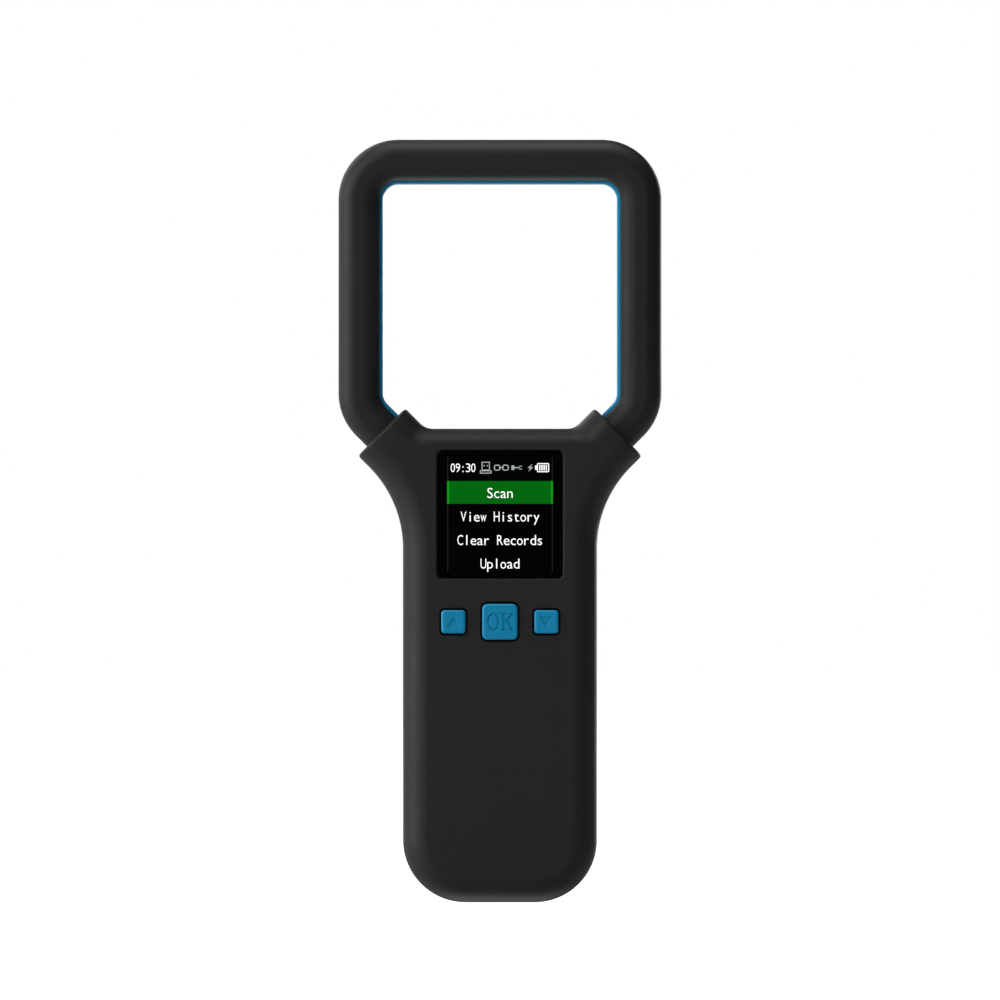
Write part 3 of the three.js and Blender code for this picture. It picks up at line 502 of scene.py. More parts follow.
def rounded_rectangle(width, height, corner, grow=0.0, steps=8):
    """Rings about a rectangle: quarter circles round its four corners, each ring grown
    outwards by one value of `grow`."""
    grow = np.atleast_1d(np.asarray(grow, dtype=float))
    across, up = width / 2 - corner, height / 2 - corner
    turns = [(across, -up, -1), (across, up, 0), (-across, up, 1), (-across, -up, 2)]
    return np.concatenate([
        arc((x, z), corner + grow, k * QUARTER, (k + 1) * QUARTER, steps) for x, z, k in turns
    ], axis=1)


def closed(rings):
    """Rings of points with the first point of each repeated at its end."""
    return np.concatenate([rings, rings[:, :1]], axis=1)


def edge_rows(radius, steps=5):
    """How far out and how deep a quarter-round edge lies: the face's side first."""
    turn = np.linspace(0.0, QUARTER, steps + 1)
    return radius * (1 - np.sin(turn)), radius * (1 - np.cos(turn))


# ---------------------------------------------------------------- the handle and the loop


class Plan:
    """Places shared by the handle and the loop, seen from the front, on the right side."""

    def __init__(self, context):
        self.handle = context.scene.scanner_handle
        self.loop = context.scene.scanner_loop
        low, high = np.array(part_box("loop_front_shell"))
        self.front = float(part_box("handle_front_shell")[0][1])
        self.loop_front = float(low[1])
        self.tilt = tilt = math.radians(45.0)
        self.along = np.array([math.sin(tilt), math.cos(tilt)])
        self.across = np.array([math.cos(tilt), -math.sin(tilt)])
        corner = self.loop.corner
        self.corner_x = float(high[0]) - corner
        middle = corner - self.loop.band / 2
        self.ear_end = np.array([
            self.corner_x + middle * self.across[0] - self.loop.showing * self.along[0],
            self.handle.length - self.handle.ear_drop])
        self.lower_z = self.ear_end[1] + self.loop.showing * self.along[1] - middle * self.across[1]
        self.upper_z = float(high[2]) - corner
        self.ear_half = self.loop.band / 2 + self.handle.ear_wall

    def from_ear(self, along, across):
        """Points measured from the ear's end: along the arm and square to it."""
        along, across = np.broadcast_arrays(along, across)
        return (self.ear_end + np.asarray(along)[..., None] * self.along
                + np.asarray(across)[..., None] * self.across)

    def flank(self, inset):
        """The handle's side, moved in by each inset: bottom, corner arc, straight side, hollow
        neck arc, and straight on to the ear's end."""
        h = self.handle
        half, rows = h.width / 2, len(inset)
        slot = float(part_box("usb_socket")[1][0]) + SOCKET_PLAY
        straight = np.append(np.linspace(0.0, slot, SLOT_COLUMN + 1), 0.006)
        bottom = np.stack(np.broadcast_arrays(straight[None, :], inset[:, None]), -1)
        corner = arc((half - h.corner, h.corner), h.corner - inset, -QUARTER, 0.0, 28)
        neck_x = half + h.neck
        neck_z = (self.ear_end[1] + ((neck_x - self.ear_end[0]) * self.across[0]
                                     - self.ear_half - h.neck) / self.along[1])
        neck = arc((neck_x, neck_z), h.neck + inset, math.pi, math.pi - self.tilt, 28)
        tip = self.from_ear(-h.ear_edge, self.ear_half - inset).reshape(rows, 1, 2)
        return np.concatenate([bottom, corner, neck, tip], axis=1)

    def saddle(self, inset):
        """The edge between the ears, moved in by each inset: from the ear's end, round the
        saddle's arc, to the middle. The rounded edge gets narrower along the arc by half of one
        plus the cosine of half a turn, so that it ends above the window."""
        h = self.handle
        saddle_z = h.length + h.saddle
        saddle_x = self.ear_end[0] + ((saddle_z - self.ear_end[1]) * self.across[0]
                                      - self.ear_half - h.saddle) / self.along[0]
        tip = self.from_ear(-h.ear_edge, inset - self.ear_half).reshape(len(inset), 1, 2)
        along = np.linspace(0.0, 1.0, 19)
        angle = -self.tilt - along * (QUARTER - self.tilt)
        share = (1 + np.cos(math.pi * along)) / 2
        narrow = h.saddle_roll / h.roll
        radius = h.saddle + inset[:, None] * (narrow + (1 - narrow) * share)
        curve = np.array([saddle_x, saddle_z]) + radius[..., None] * np.stack(
            [np.cos(angle), np.sin(angle)], -1)
        middle = np.stack([np.zeros_like(inset), h.length - inset * narrow], -1)[:, None]
        return np.concatenate([tip, curve, middle], axis=1)

    def band(self, depth, reach):
        """The loop's course at each depth in from its outer edge: from the arm's end, round the
        lower corner, up, round the upper corner, and to the middle."""
        depth = np.atleast_1d(depth)
        radius = self.loop.corner - depth
        start = self.from_ear(reach, self.loop.band / 2 - depth).reshape(len(depth), 1, 2)
        lower = arc((self.corner_x, self.lower_z), radius, -self.tilt, 0.0, 20)
        upper = arc((self.corner_x, self.upper_z), radius, 0.0, QUARTER, 36)
        top = np.stack([np.zeros_like(depth), self.upper_z + radius], -1)[:, None]
        return np.concatenate([start, lower, upper, top], axis=1)


def roll_profile(roll, rise, belt, seam, extra=0.00035, steps=18):
    """The rounded edge from the seam to the face: a fine chamfer at the seam, half of the
    straight belt, then a quarter ellipse, inset = roll (1 - cos t) and height = belt / 2 + rise
    sin t, and a last row that reaches `extra` on to the face. Gives the insets, the heights and
    the direction that points into the wall."""
    t = np.linspace(0.0, QUARTER, steps + 1)
    inset = np.concatenate([
        [4 * seam, seam, 0.3 * seam, 0.0], roll * (1 - np.cos(t)), [roll + extra]])
    height = np.concatenate([
        [0.0, 0.0, 0.3 * seam, seam], belt / 2 + rise * np.sin(t), [belt / 2 + rise]])
    size = np.hypot(rise * np.cos(t), roll * np.sin(t))
    inward = np.concatenate([
        np.tile([[1.0, 0.0]], (SEAM_ROWS, 1)),
        np.stack([rise * np.cos(t) / size, -roll * np.sin(t) / size], -1), [[0.0, -1.0]]])
    return inset, height, inward


def handle_shell(plan, side, holes):
    """Half of the handle. Its side is the outline moved in along the rounded edge's profile, its
    face a flat sheet with `holes` left open, and each ear ends in the same profile drawn in
    round a quarter circle, with the mouth for the loop's arm. `side` is -1 in front, 1 behind."""
    h, loop = plan.handle, plan.loop
    rise = abs(plan.front) - h.belt / 2
    inset, height, inward = roll_profile(h.roll, rise, h.belt, h.seam)
    flank, saddle = plan.flank(inset), plan.saddle(inset)
    form = Form()
    y = side * height

    belt = slice(SEAM_ROWS - 1, SEAM_ROWS + 1)
    form.grid(upright(flank[:SEAM_ROWS, SLOT_COLUMN:], y[:SEAM_ROWS]))
    form.grid(upright(flank[belt, SLOT_COLUMN + 1:], y[belt]))
    form.grid(upright(flank[SEAM_ROWS:], y[SEAM_ROWS:]))
    form.grid(upright(saddle, y))
    socket_way(form, flank, y, side)

    turn = np.linspace(0.0, QUARTER, 7)[:, None]
    drawn_in = h.ear_edge * (1 - np.cos(turn))
    ahead = h.ear_edge * (np.sin(turn) - 1)
    in_now = inset + drawn_in * inward[:, 0]
    up_now = height + drawn_in * inward[:, 1]
    mouth_inset, mouth_height, _ = roll_profile(
        loop.roll, abs(plan.loop_front) + loop.play - loop.belt / 2, loop.belt, h.seam)
    mouth_inset = mouth_inset + h.ear_wall - loop.play
    in_all = np.vstack([in_now, mouth_inset, mouth_inset])
    up_all = np.vstack([up_now, mouth_height, mouth_height])
    ahead_all = np.vstack([ahead, [[0.0], [-MOUTH_DEPTH]]])
    across = np.hstack([plan.ear_half - in_all, (in_all - plan.ear_half)[:, ::-1]])
    depth = side * np.hstack([up_all, up_all[:, ::-1]])
    ear = np.insert(plan.from_ear(ahead_all, across), 1, depth, axis=-1)
    form.grid(ear).fill(ear[-1]).mirrored()
    outline = np.vstack([flank[-1], saddle[-1]])
    outline = np.vstack([outline, (outline * [-1, 1])[::-1]])
    form.fill(upright(outline, y[-1]), *holes)
    return form


def socket_way(form, flank, y, side):
    """The bottom of the belt round the charging socket: a flat sheet with half of a rounded slot
    left open, the slot's wall up to the socket's end, its roof, and the end of the seam beside
    it. The slot's outline is a quarter circle at its corner and straight lines."""
    high = np.array(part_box("usb_socket")[1])
    half, rise, roof = high + SOCKET_PLAY
    start = side * y[SEAM_ROWS - 1]
    corner = arc((half - high[1], rise - high[1]), high[1], 0.0, QUARTER, 10)
    outline = np.vstack([[[half, start]], corner, [[0.0, rise]]])
    ring = np.column_stack([outline[:, 0], side * outline[:, 1], np.zeros(len(outline))])
    top = ring + [0.0, 0.0, roof]
    form.grid(np.stack([ring, top])).fill(np.vstack([[[0.0, 0.0, roof], [half, 0.0, roof]], top]))
    belt = upright(flank[SEAM_ROWS, :SLOT_COLUMN + 2], y[SEAM_ROWS])
    form.fill(np.vstack([belt, [[belt[-1, 0], y[SEAM_ROWS - 1], 0.0]], ring]))
    seam = np.insert(flank[:SEAM_ROWS, SLOT_COLUMN], 1, y[:SEAM_ROWS], axis=1)
    form.fill(np.vstack([seam, [top[0], [half, 0.0, roof]]]))


def opening(form, ring_of, face, floor, side, radius, ring_out=0.0003):
    """One opening in a flat face: a flat margin, a quarter-round edge, a straight wall and a
    floor. Gives the margin's outer ring, which the face leaves open. `ring_of` gives the
    opening's outline grown by each value."""
    out, down = edge_rows(radius)
    grow = np.concatenate([[radius + ring_out], out, [0.0]])
    depth = face - side * np.concatenate([[0.0], down, [abs(face - floor)]])
    rings = ring_of(grow)
    points = upright(rings, depth)
    form.grid(closed(points))
    form.fill(points[-1])
    return points[0]


def handle_front(plan, keys, screen):
    """The front shell, with the window's recess and the three openings for the keys."""
    key_floor, key_lip = 0.0024, 0.00012
    recesses, holes = Form(), []
    for _, middle, size, corner in key_places(keys):
        def around_key(grow, middle=middle, size=size, corner=corner):
            return middle + rounded_rectangle(
                *(size + [2 * keys.side_gap, 2 * keys.end_gap]), corner + keys.side_gap, grow)

        holes.append(opening(
            recesses, around_key, plan.front, plan.front + key_floor, -1, key_lip))
    low, high = np.array(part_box("window"))

    def around_window(grow):
        return middle_of("window") + rounded_rectangle(
            high[0] - low[0], high[2] - low[2], screen.corner, grow)

    holes.append(opening(
        recesses, around_window, plan.front, float(high[1]), -1, screen.lip))
    return joined([handle_shell(plan, -1, holes), recesses])


def key_places(keys):
    """Each key's name, middle, size and corner radius, from its frame piece: the opening is the
    frame's cap with some room round it, and the cap is the opening less its gaps."""
    places = []
    for name in ("up", "ok", "down"):
        low, high = np.array(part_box(f"{name}_key"))
        corner = keys.middle_corner if name == "ok" else keys.small_corner
        opening_size = (high - low)[[0, 2]] - 2 * keys.flange + 2 * keys.opening
        size = opening_size - [2 * keys.side_gap, 2 * keys.end_gap]
        places.append((name, middle_of(f"{name}_key"), size, corner))
    return places


def lathe(profile, centre, steps=48):
    """A profile of (radius, y) points turned about a line along Y through the centre (x, z)."""
    angle = np.linspace(0.0, 2 * math.pi, steps + 1)
    radius, depth = profile[:, 0][:, None], profile[:, 1][:, None]
    return np.stack([
        centre[0] + radius * np.cos(angle), np.broadcast_to(depth, (len(profile), steps + 1)),
        centre[1] + radius * np.sin(angle)], -1)


SHELL_SCREWS = [
    f"{row}_{side}_shell_screw" for row in ("lower", "upper") for side in ("left", "right")]


def rear_tool(plan):
    """What is cut from the rear shell: the screws' round recesses and three rounded slots for
    the sound. Each form stands clear of the shell behind it."""
    tool = Form()
    back, clear = -plan.front, 0.002
    seat_below_head, play = 0.0017, 0.0003
    slot_width, slot_height, slot_depth, slot_pitch = 0.001, 0.005, 0.0018, 0.0024
    for name in SHELL_SCREWS:
        low, high = np.array(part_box(name))
        seat = float(high[1]) - seat_below_head
        radius = (high[0] - low[0]) / 2 + play
        tool.grid(lathe(np.array([
            [0.0, seat], [radius, seat], [radius, back + clear], [0.0, back + clear]]),
            middle_of(name)))
    for shift in (-slot_pitch, 0.0, slot_pitch):
        ring = rounded_rectangle(slot_width, slot_height, slot_width / 2, steps=6)
        ring = ring + middle_of("buzzer") + [shift, 0.0]
        tool.tube(upright(
            np.repeat(ring, 2, axis=0), np.array([back - slot_depth, back + clear])))
    return tool


def loop_shell(plan, side):
    """Half of the loop: the band's section carried round the loop's course. The section is the
    rounded outer edge, the flat face, the rounded inner edge, the groove for the liner and the
    flat side between the halves."""
    loop, margin, groove_depth = plan.loop, 0.00025, 0.0008
    rise = abs(plan.loop_front) - loop.belt / 2
    inset, height, _ = roll_profile(loop.roll, rise, loop.belt, plan.handle.seam, margin)
    groove = float(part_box("loop_trim")[1][1]) + plan.loop.play
    t = np.linspace(QUARTER, 0.0, 16)
    inner = loop.band - loop.roll * (1 - np.cos(t))
    depth = np.concatenate([
        inset, [loop.band - loop.roll - margin], inner, [loop.band - groove_depth] * 2,
        inset[:1]])
    heights = np.concatenate([
        height, [height[-1]], groove + (height[-1] - groove) * np.sin(t), [groove, 0.0, 0.0]])
    points = upright(plan.band(depth, ARM_SHORT - MOUTH_DEPTH), side * heights)
    return Form().grid(points).fill(points[:-1, 0]).mirrored()


def liner(plan):
    """The blue liner: a strip with two quarter-round edges, carried round the loop's inner
    side."""
    half = float(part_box("loop_trim")[1][1])
    sunk, proud = plan.loop.band - 0.0007, plan.loop.band + plan.loop.proud
    edge, into_ear = 0.00042, 0.002
    turn = np.linspace(0.0, QUARTER, 7)
    depth = np.concatenate([[sunk], proud - edge * (1 - np.sin(turn))])
    height = np.concatenate([[half], half - edge * (1 - np.cos(turn))])
    depth = np.concatenate([depth, depth[::-1], [sunk]])
    height = np.concatenate([height, -height[::-1], [half]])
    points = upright(plan.band(depth, -into_ear), height)
    return Form().grid(points).fill(points[:-1, 0]).mirrored()


# ---------------------------------------------------------------- keys


def moved_in(outline, distance):
    """An outline with all its edges moved in by a distance: each corner moves along the sum of
    the normals of its two edges, over one plus their dot product. It runs anticlockwise."""
    along = np.roll(outline, -1, 0) - outline
    along /= np.linalg.norm(along, axis=1, keepdims=True)
    normal = np.stack([-along[:, 1], along[:, 0]], -1)
    before = np.roll(normal, 1, 0)
    return outline + distance * (normal + before) / (
        1.0 + (normal * before).sum(1, keepdims=True))


def triangle(size, point):
    """The outline of a triangle in a key of the given width, pointing up (1) or down (-1)."""
    half, rise = size * 0.32, size * 0.235
    corners = np.array([[-half, -rise], [half, -rise], [0.0, rise]]) * [1, point]
    return corners[::point]


def letter_o(width, height, steps=48):
    """An upright ellipse, as one edge of the letter O."""
    angle = np.linspace(0.0, 2 * math.pi, steps, endpoint=False)
    return np.stack([width / 2 * np.cos(angle), height / 2 * np.sin(angle)], -1)


def letter_k(width, height):
    """The outline of a letter K: an upright stem with feet, and two slanting strokes."""
    w, h = width / 2, height / 2
    foot, serif, stroke = height * 0.10, width * 0.10, width * 0.21
    left, right = -w + serif, -w + serif + width * 0.24
    knee, fork = right + width * 0.04, right + width * 0.26
    return np.array([
        [-w, -h], [right + serif, -h], [right + serif, -h + foot], [right, -h + foot],
        [right, -height * 0.10], [knee + width * 0.08, height * 0.03],
        [w - stroke - serif, -h + foot], [w - stroke - serif, -h], [w, -h], [w, -h + foot],
        [w - serif / 2, -h + foot], [fork, height * 0.10], [w - serif, h - foot], [w, h - foot],
        [w, h], [w - stroke - serif, h], [w - stroke - serif, h - foot],
        [w - stroke - serif / 2, h - foot], [right, height * 0.07], [right, h - foot],
        [right + serif, h - foot], [right + serif, h], [-w, h], [-w, h - foot],
        [left, h - foot], [left, -h + foot], [-w, -h + foot],
    ])


def key_form(keys, centre, size, corner, name):
    """A keycap: its face with an engraved sign, a quarter-round edge and straight sides."""
    low, _ = np.array(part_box(f"{name}_key"))
    face, tall, margin = float(low[1]), 0.0026, 0.00005
    out, down = edge_rows(keys.edge, 7)
    grow = np.concatenate([[-keys.edge - margin], -out, [0.0]])
    depth = face + np.concatenate([[0.0], down, [tall]])
    rings = upright(rounded_rectangle(*size, corner, grow) + centre, depth)
    form = Form().grid(closed(rings)).fill(rings[-1])

    def sunk(outline, slant):
        """A slanting wall from an outline on the face down to the sign's floor."""
        rows = np.stack([outline, moved_in(outline, slant)]) + centre
        points = upright(rows, np.array([face, face + keys.sign_depth]))
        form.grid(closed(points))
        return points

    if name == "ok":
        width, height = size[0] * 0.36, size[1] * 0.50
        place = np.array([-size[0] * 0.18, 0.0])
        outer = sunk(letter_o(width, height) + place, keys.slant)
        inner = sunk(letter_o(width * 0.58, height * 0.76) + place, -keys.slant)
        legs = sunk(letter_k(width, height) + [size[0] * 0.215, 0.0], keys.slant * 0.75)
        form.fill(rings[0], outer[0], legs[0]).fill(inner[0])
        form.fill(outer[1], inner[1]).fill(legs[1])
    else:
        sign = sunk(triangle(size[0], 1 if name == "up" else -1), keys.slant)
        form.fill(rings[0], sign[0]).fill(sign[1])
    return form


# ---------------------------------------------------------------- window and picture


def window_form(screen):
    """The cover glass: a plate with fine rounded edges."""
    low, high = np.array(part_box("window"))
    edge, margin = 0.0001, 0.00002
    out, down = edge_rows(edge, 4)
    grow = np.concatenate([[-edge - margin], -out, [0.0]]) - screen.gap
    depth = low[1] + np.concatenate([[0.0], down, [high[1] - low[1]]])
    rings = rounded_rectangle(high[0] - low[0], high[2] - low[2], screen.corner, grow)
    return Form().tube(upright(rings + middle_of("window"), depth))


def plate(outline, depth, thick=SHEET):
    """A thin flat plate with the given outline."""
    return Form().tube(
        upright(np.repeat(outline[None], 2, axis=0), np.array([depth, depth + thick])))


def frame_plate(width, height, corner, wall, x, z, depth, thick=SHEET):
    """A thin rounded rectangle with an open middle: its outer and inner rings in front, then
    the same two behind, and back to the first."""
    rings = rounded_rectangle(width, height, corner, [0.0, -wall, -wall, 0.0, 0.0], 5) + [x, z]
    depths = depth + thick * np.array([0.0, 0.0, 1.0, 1.0, 0.0])
    return Form().grid(closed(upright(rings, depths)))


def bar(x, z, width, height):
    """The outline of an upright rectangle about (x, z)."""
    return np.array([[-1, -1], [1, -1], [1, 1], [-1, 1]]) * [width / 2, height / 2] + [x, z]


def joined(forms):
    """Several forms as one."""
    whole = Form()
    for form in forms:
        whole.faces += [faces + whole.count for faces in form.faces]
        whole.points += form.points
        whole.count += form.count
    return whole


def letter(character, size):
    """The points and triangles of one letter, a thin plate that lies in the x-y plane."""
    curve = bpy.data.curves.new("letter", "FONT")
    curve.body, curve.size, curve.extrude = character, size, 0.4 * SHEET
    curve.fill_mode, curve.resolution_u, curve.offset = "BOTH", 3, -size * 0.0042
    glyph = bpy.data.objects.new("letter", curve)
    bpy.context.scene.collection.objects.link(glyph)
    state = bpy.context.evaluated_depsgraph_get()
    mesh = bpy.data.meshes.new_from_object(glyph.evaluated_get(state))
    bpy.data.objects.remove(glyph, do_unlink=True)
    bpy.data.curves.remove(curve)
    mesh.calc_loop_triangles()
    points = np.empty(len(mesh.vertices) * 3)
    mesh.vertices.foreach_get("co", points)
    corners = np.empty(len(mesh.loop_triangles) * 3, dtype=int)
    mesh.loop_triangles.foreach_get("vertices", corners)
    bpy.data.meshes.remove(mesh)
    return points.reshape(-1, 3), corners.reshape(-1, 3)


def words(text, x, z, pitch, height, depth):
    """Letters set one by one at an even pitch about (x, z): each is narrowed to fit the pitch,
    and turned upright by (x, y, z) going to (x, -z, y)."""
    capital, fill = 0.70, 0.86  # a capital over the font's size, a letter over its pitch
    form = Form()
    for place, character in enumerate(text):
        if character == " ":
            continue
        points, triangles = letter(character, height / capital)
        across, up, out = points.T
        middle = (across.max() + across.min()) / 2
        fit = min(1.0, pitch * fill / np.ptp(across))
        start = x + (place - (len(text) - 1) / 2) * pitch
        form.add(np.stack([
            (across - middle) * fit + start, depth - out, up + z - height / 2], -1), triangles)
    return form


def status_signs(x, z, unit, depth):
    """The signs beside the clock: a drive, a link, a plug and a flash, each made of plain
    bars and rings."""
    forms = []

    def stroke(dx, dz, width, height):
        forms.append(plate(bar(x + dx * unit, z + dz * unit, width * unit, height * unit), depth))

    for dz in (-0.75, 1.7):
        stroke(0.0, dz, 2.6, 0.28)
    for dx in (-1.16, 1.16):
        stroke(dx, 0.48, 0.28, 2.4)
    for dx in (-0.5, 0.5):
        stroke(dx, 0.6, 0.35, 0.4)
    for dz in (-0.98, -1.72):
        stroke(0.0, dz, 3.6, 0.28)
    for dx in (-1.7, 1.7):
        stroke(dx, -1.35, 0.28, 0.6)
    for dx in (3.6, 6.2):
        forms.append(frame_plate(
            2.1 * unit, 1.9 * unit, 0.8 * unit, 0.32 * unit, x + dx * unit, z, depth))
    stroke(4.9, 0.0, 1.5, 0.3)
    stroke(9.4, 0.0, 2.4, 0.35)
    stroke(8.5, 0.0, 0.9, 1.4)
    stroke(10.9, 0.45, 0.9, 0.25)
    stroke(10.9, -0.45, 0.9, 0.25)
    flash = np.array([
        [0.5, 1.7], [-0.7, -0.2], [-0.05, -0.2], [-0.5, -1.7], [0.7, 0.25], [0.05, 0.25]])
    forms.append(plate(flash * unit * [1.3, 0.75] + [x + 14.0 * unit, z], depth))
    return joined(forms)


def battery_sign(x, z, unit, depth):
    """A full battery: a filled rounded body with fine gaps, and its cap on the left."""
    forms = [
        frame_plate(3.9 * unit, 2.9 * unit, 0.4 * unit, 0.3 * unit, x, z, depth),
        plate(bar(x - 2.25 * unit, z, 0.6 * unit, 1.4 * unit), depth)]
    for place in (-1.05, -0.35, 0.35, 1.05):
        forms.append(plate(bar(x + place * unit, z, 0.42 * unit, 1.8 * unit), depth))
    return joined(forms)


# ---------------------------------------------------------------- screws and socket


def screw_form(name):
    """A screw head on polar rings: a flat top with a rounded rim and a cross recess. The recess
    is as deep as two ramps multiplied: one falls across the cross's arm and one along it."""
    low, high = np.array(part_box(name))
    radius, top = (high[0] - low[0]) / 2, float(high[1])
    edge, side, flat = 0.0004, 0.0016, 40
    wide, long, deep = 0.00036, 0.0013, 0.0009
    turn = np.linspace(0.0, QUARTER, 7)[1:]
    r = np.concatenate([
        np.linspace(0.0, radius - edge, flat), radius - edge + edge * np.sin(turn), [radius]])
    y = np.concatenate([np.full(flat, top), top - edge * (1 - np.cos(turn)), [top - side]])
    angle = np.linspace(0.0, 2 * math.pi, 121)
    x, z = r[:, None] * np.cos(angle), r[:, None] * np.sin(angle)
    arm, along = np.minimum(np.abs(x), np.abs(z)), np.maximum(np.abs(x), np.abs(z))
    inside = (np.clip((wide - arm) / 0.00012 + 0.5, 0, 1)
              * np.clip((long - along) / 0.0003 + 0.5, 0, 1))
    depth = y[:, None] - inside * (deep * (1 - 0.35 * along / long))
    turned = math.radians(20.0 + 31.0 * SHELL_SCREWS.index(name))
    c, s = math.cos(turned), math.sin(turned)
    across, up = middle_of(name)
    return Form().grid(np.stack([across + x * c - z * s, depth, up + x * s + z * c], -1))


def socket_form():
    """The charging socket's metal shell: rings of a rounded slot, out round the mouth's lip and
    back along the inside to a floor."""
    low, high = np.array(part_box("usb_socket"))
    width, height = high[0] - low[0], high[1] - low[1]
    wall = 0.0003
    turn = np.linspace(0.0, math.pi, 9)
    grow = np.concatenate([[0.0], -wall / 2 * (1 - np.cos(turn)), [-wall]])
    up = np.concatenate([[high[2]], low[2] + wall / 2 * (1 - np.sin(turn)), [high[2] - 0.001]])
    return Form().tube(
        level(rounded_rectangle(width, height, height / 2 - 0.00002, grow, 12), up))


def tongue_form():
    """The socket's tongue: a thin rounded board with a bevelled end."""
    low, high = np.array(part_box("usb_socket"))
    width, thick, bevel = 0.0067, 0.0007, 0.0002
    up = np.array([low[2] + thick, low[2] + thick + bevel, high[2] - 0.0009])
    return Form().tube(level(
        rounded_rectangle(width, thick, bevel, np.array([-bevel, 0.0, 0.0]), 4), up))


def contacts_form():
    """Six gilt contacts on each side of the tongue."""
    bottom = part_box("usb_socket")[0][2]
    half, face, sunk = 0.00028, 0.00036, 0.9
    up = np.array([bottom + 0.0011, bottom + 0.0042])
    forms = []
    for place in np.linspace(-0.00265, 0.00265, 6):
        for y in (-face, face):
            outline = np.array([[place - half, y], [place + half, y],
                                [place + half, y * sunk], [place - half, y * sunk]])
            forms.append(Form().tube(level(np.repeat(outline[None], 2, axis=0), up)))
    return joined(forms)


# ---------------------------------------------------------------- operators


def placed(piece, body, slot, *nodes):
    """A piece that rides on a body and stands for some nodes, which it hides. `slot` is not used.
    """
    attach(piece, body)
    if nodes:
        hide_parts(*nodes)
    return piece


LIGHTS = (  # name, place, side of the square in metres, watts
    ("key_light", (-1.6, -0.25, 0.40), 1.0, 26.0),
    ("top_light", (0.0, 0.0, 1.6), 1.0, 19.0),
    ("front_light", (-1.1, -1.5, 1.1), 0.5, 18.5),
    ("back_light", (-0.9, 1.5, 0.8), 1.2, 12.0),
    ("rim_light", (0.75, 2.0, 0.3), 0.6, 13.0),
    ("low_light", (0.0, 0.9, -1.3), 1.0, 12.0),
)


class SCANNER_OT_stage(bpy.types.Operator):
    """Set up the camera, the pale floor and the soft lights"""

    bl_idname = "scanner.stage"
    bl_label = "Stage"

    def execute(self, context):
        stage = context.scene.scanner_stage
        data = bpy.data.cameras.new("camera")
        data.sensor_width = 36.0
        data.lens = data.sensor_width * stage.distance / stage.view_width
        data.clip_end = 100.0
        camera = bpy.data.objects.new("camera", data)
        camera.location = (0.0, -stage.distance, stage.aim)
        camera.rotation_euler = (QUARTER, 0.0, 0.0)
        context.scene.collection.objects.link(camera)
        context.scene.camera = camera

        radius, drop, sides = 4.0, 0.0004, 64
        angle = np.linspace(0.0, 2 * math.pi, sides, endpoint=False)
        ring = np.stack(
            [radius * np.cos(angle), radius * np.sin(angle), np.full(sides, -drop)], -1)
        paint = Finish("floor_paint", Roughness=0.9)
        cloud = paint.noise(0.4, 2.0)
        paint.drive("Base Color", paint.blend(cloud, (0.52, 0.52, 0.52), (0.56, 0.56, 0.56)))
        paint.glow_to_the_eye(1.0)
        floor = bpy.data.meshes.new("floor")
        floor.from_pydata(ring.tolist(), [], [list(range(sides))])
        floor.materials.append(paint.material)
        ground = bpy.data.objects.new("floor", floor)
        context.scene.collection.objects.link(ground)
        ground.visible_shadow = False

        world = bpy.data.worlds.new("studio")
        context.scene.world = world
        world.use_nodes = True
        tree = world.node_tree
        tree.nodes.clear()
        seen, room = (
            add_node(tree, "ShaderNodeBackground", {"Color": WHITE, "Strength": strength})
            for strength in (1.0, 0.03))
        eye = add_node(tree, "ShaderNodeLightPath", output="Is Camera Ray")
        mix = add_node(tree, "ShaderNodeMixShader", {0: eye, 1: room, 2: seen})
        add_node(tree, "ShaderNodeOutputWorld", {"Surface": mix})

        middle = Vector((0.0, 0.0, stage.aim))
        for name, place, size, power in LIGHTS:
            light = bpy.data.lights.new(name, "AREA")
            light.shape, light.size, light.energy = "SQUARE", size, power
            lamp = bpy.data.objects.new(name, light)
            lamp.location = place
            lamp.rotation_euler = (Vector(place) - middle).to_track_quat("Z", "Y").to_euler()
            lamp.visible_camera = False
            context.scene.collection.objects.link(lamp)
        context.scene.view_settings.view_transform = "Standard"
        return {"FINISHED"}


class SCANNER_OT_handle(bpy.types.Operator):
    """Build the two shells of the handle"""

    bl_idname = "scanner.handle"
    bl_label = "Handle"

    def execute(self, context):
        plan, scene = Plan(context), context.scene
        skin = moulded("soft_black_plastic", tuple(scene.scanner_colours.black), 0.58)
        front = handle_front(plan, scene.scanner_keys, scene.scanner_screen)
        placed(front.object("handle_front", skin), "reader", "black_plastic",
               "handle_front_shell")
        rear = handle_shell(plan, 1, []).object("handle_rear", skin, cutter=rear_tool(plan))
        placed(rear, "reader", "black_plastic", "handle_rear_shell")
        return {"FINISHED"}


class SCANNER_OT_loop(bpy.types.Operator):
    """Build the loop's two shells and its blue liner"""

    bl_idname = "scanner.loop"
    bl_label = "Loop"

    def execute(self, context):
        plan = Plan(context)
        colours = context.scene.scanner_colours
        skin = moulded("loop_black_plastic", tuple(colours.black), 0.58)
        front = loop_shell(plan, -1).object("loop_front", skin)
        placed(front, "reader", "black_plastic", "loop_front_shell")
        rear = loop_shell(plan, 1).object("loop_rear", skin)
        placed(rear, "reader", "black_plastic", "loop_rear_shell")
        strip = liner(plan).object(
            "loop_liner", moulded("liner_blue_plastic", tuple(colours.blue), 0.42, specular=0.3))
        placed(strip, "reader", "blue_plastic", "loop_trim")
        return {"FINISHED"}


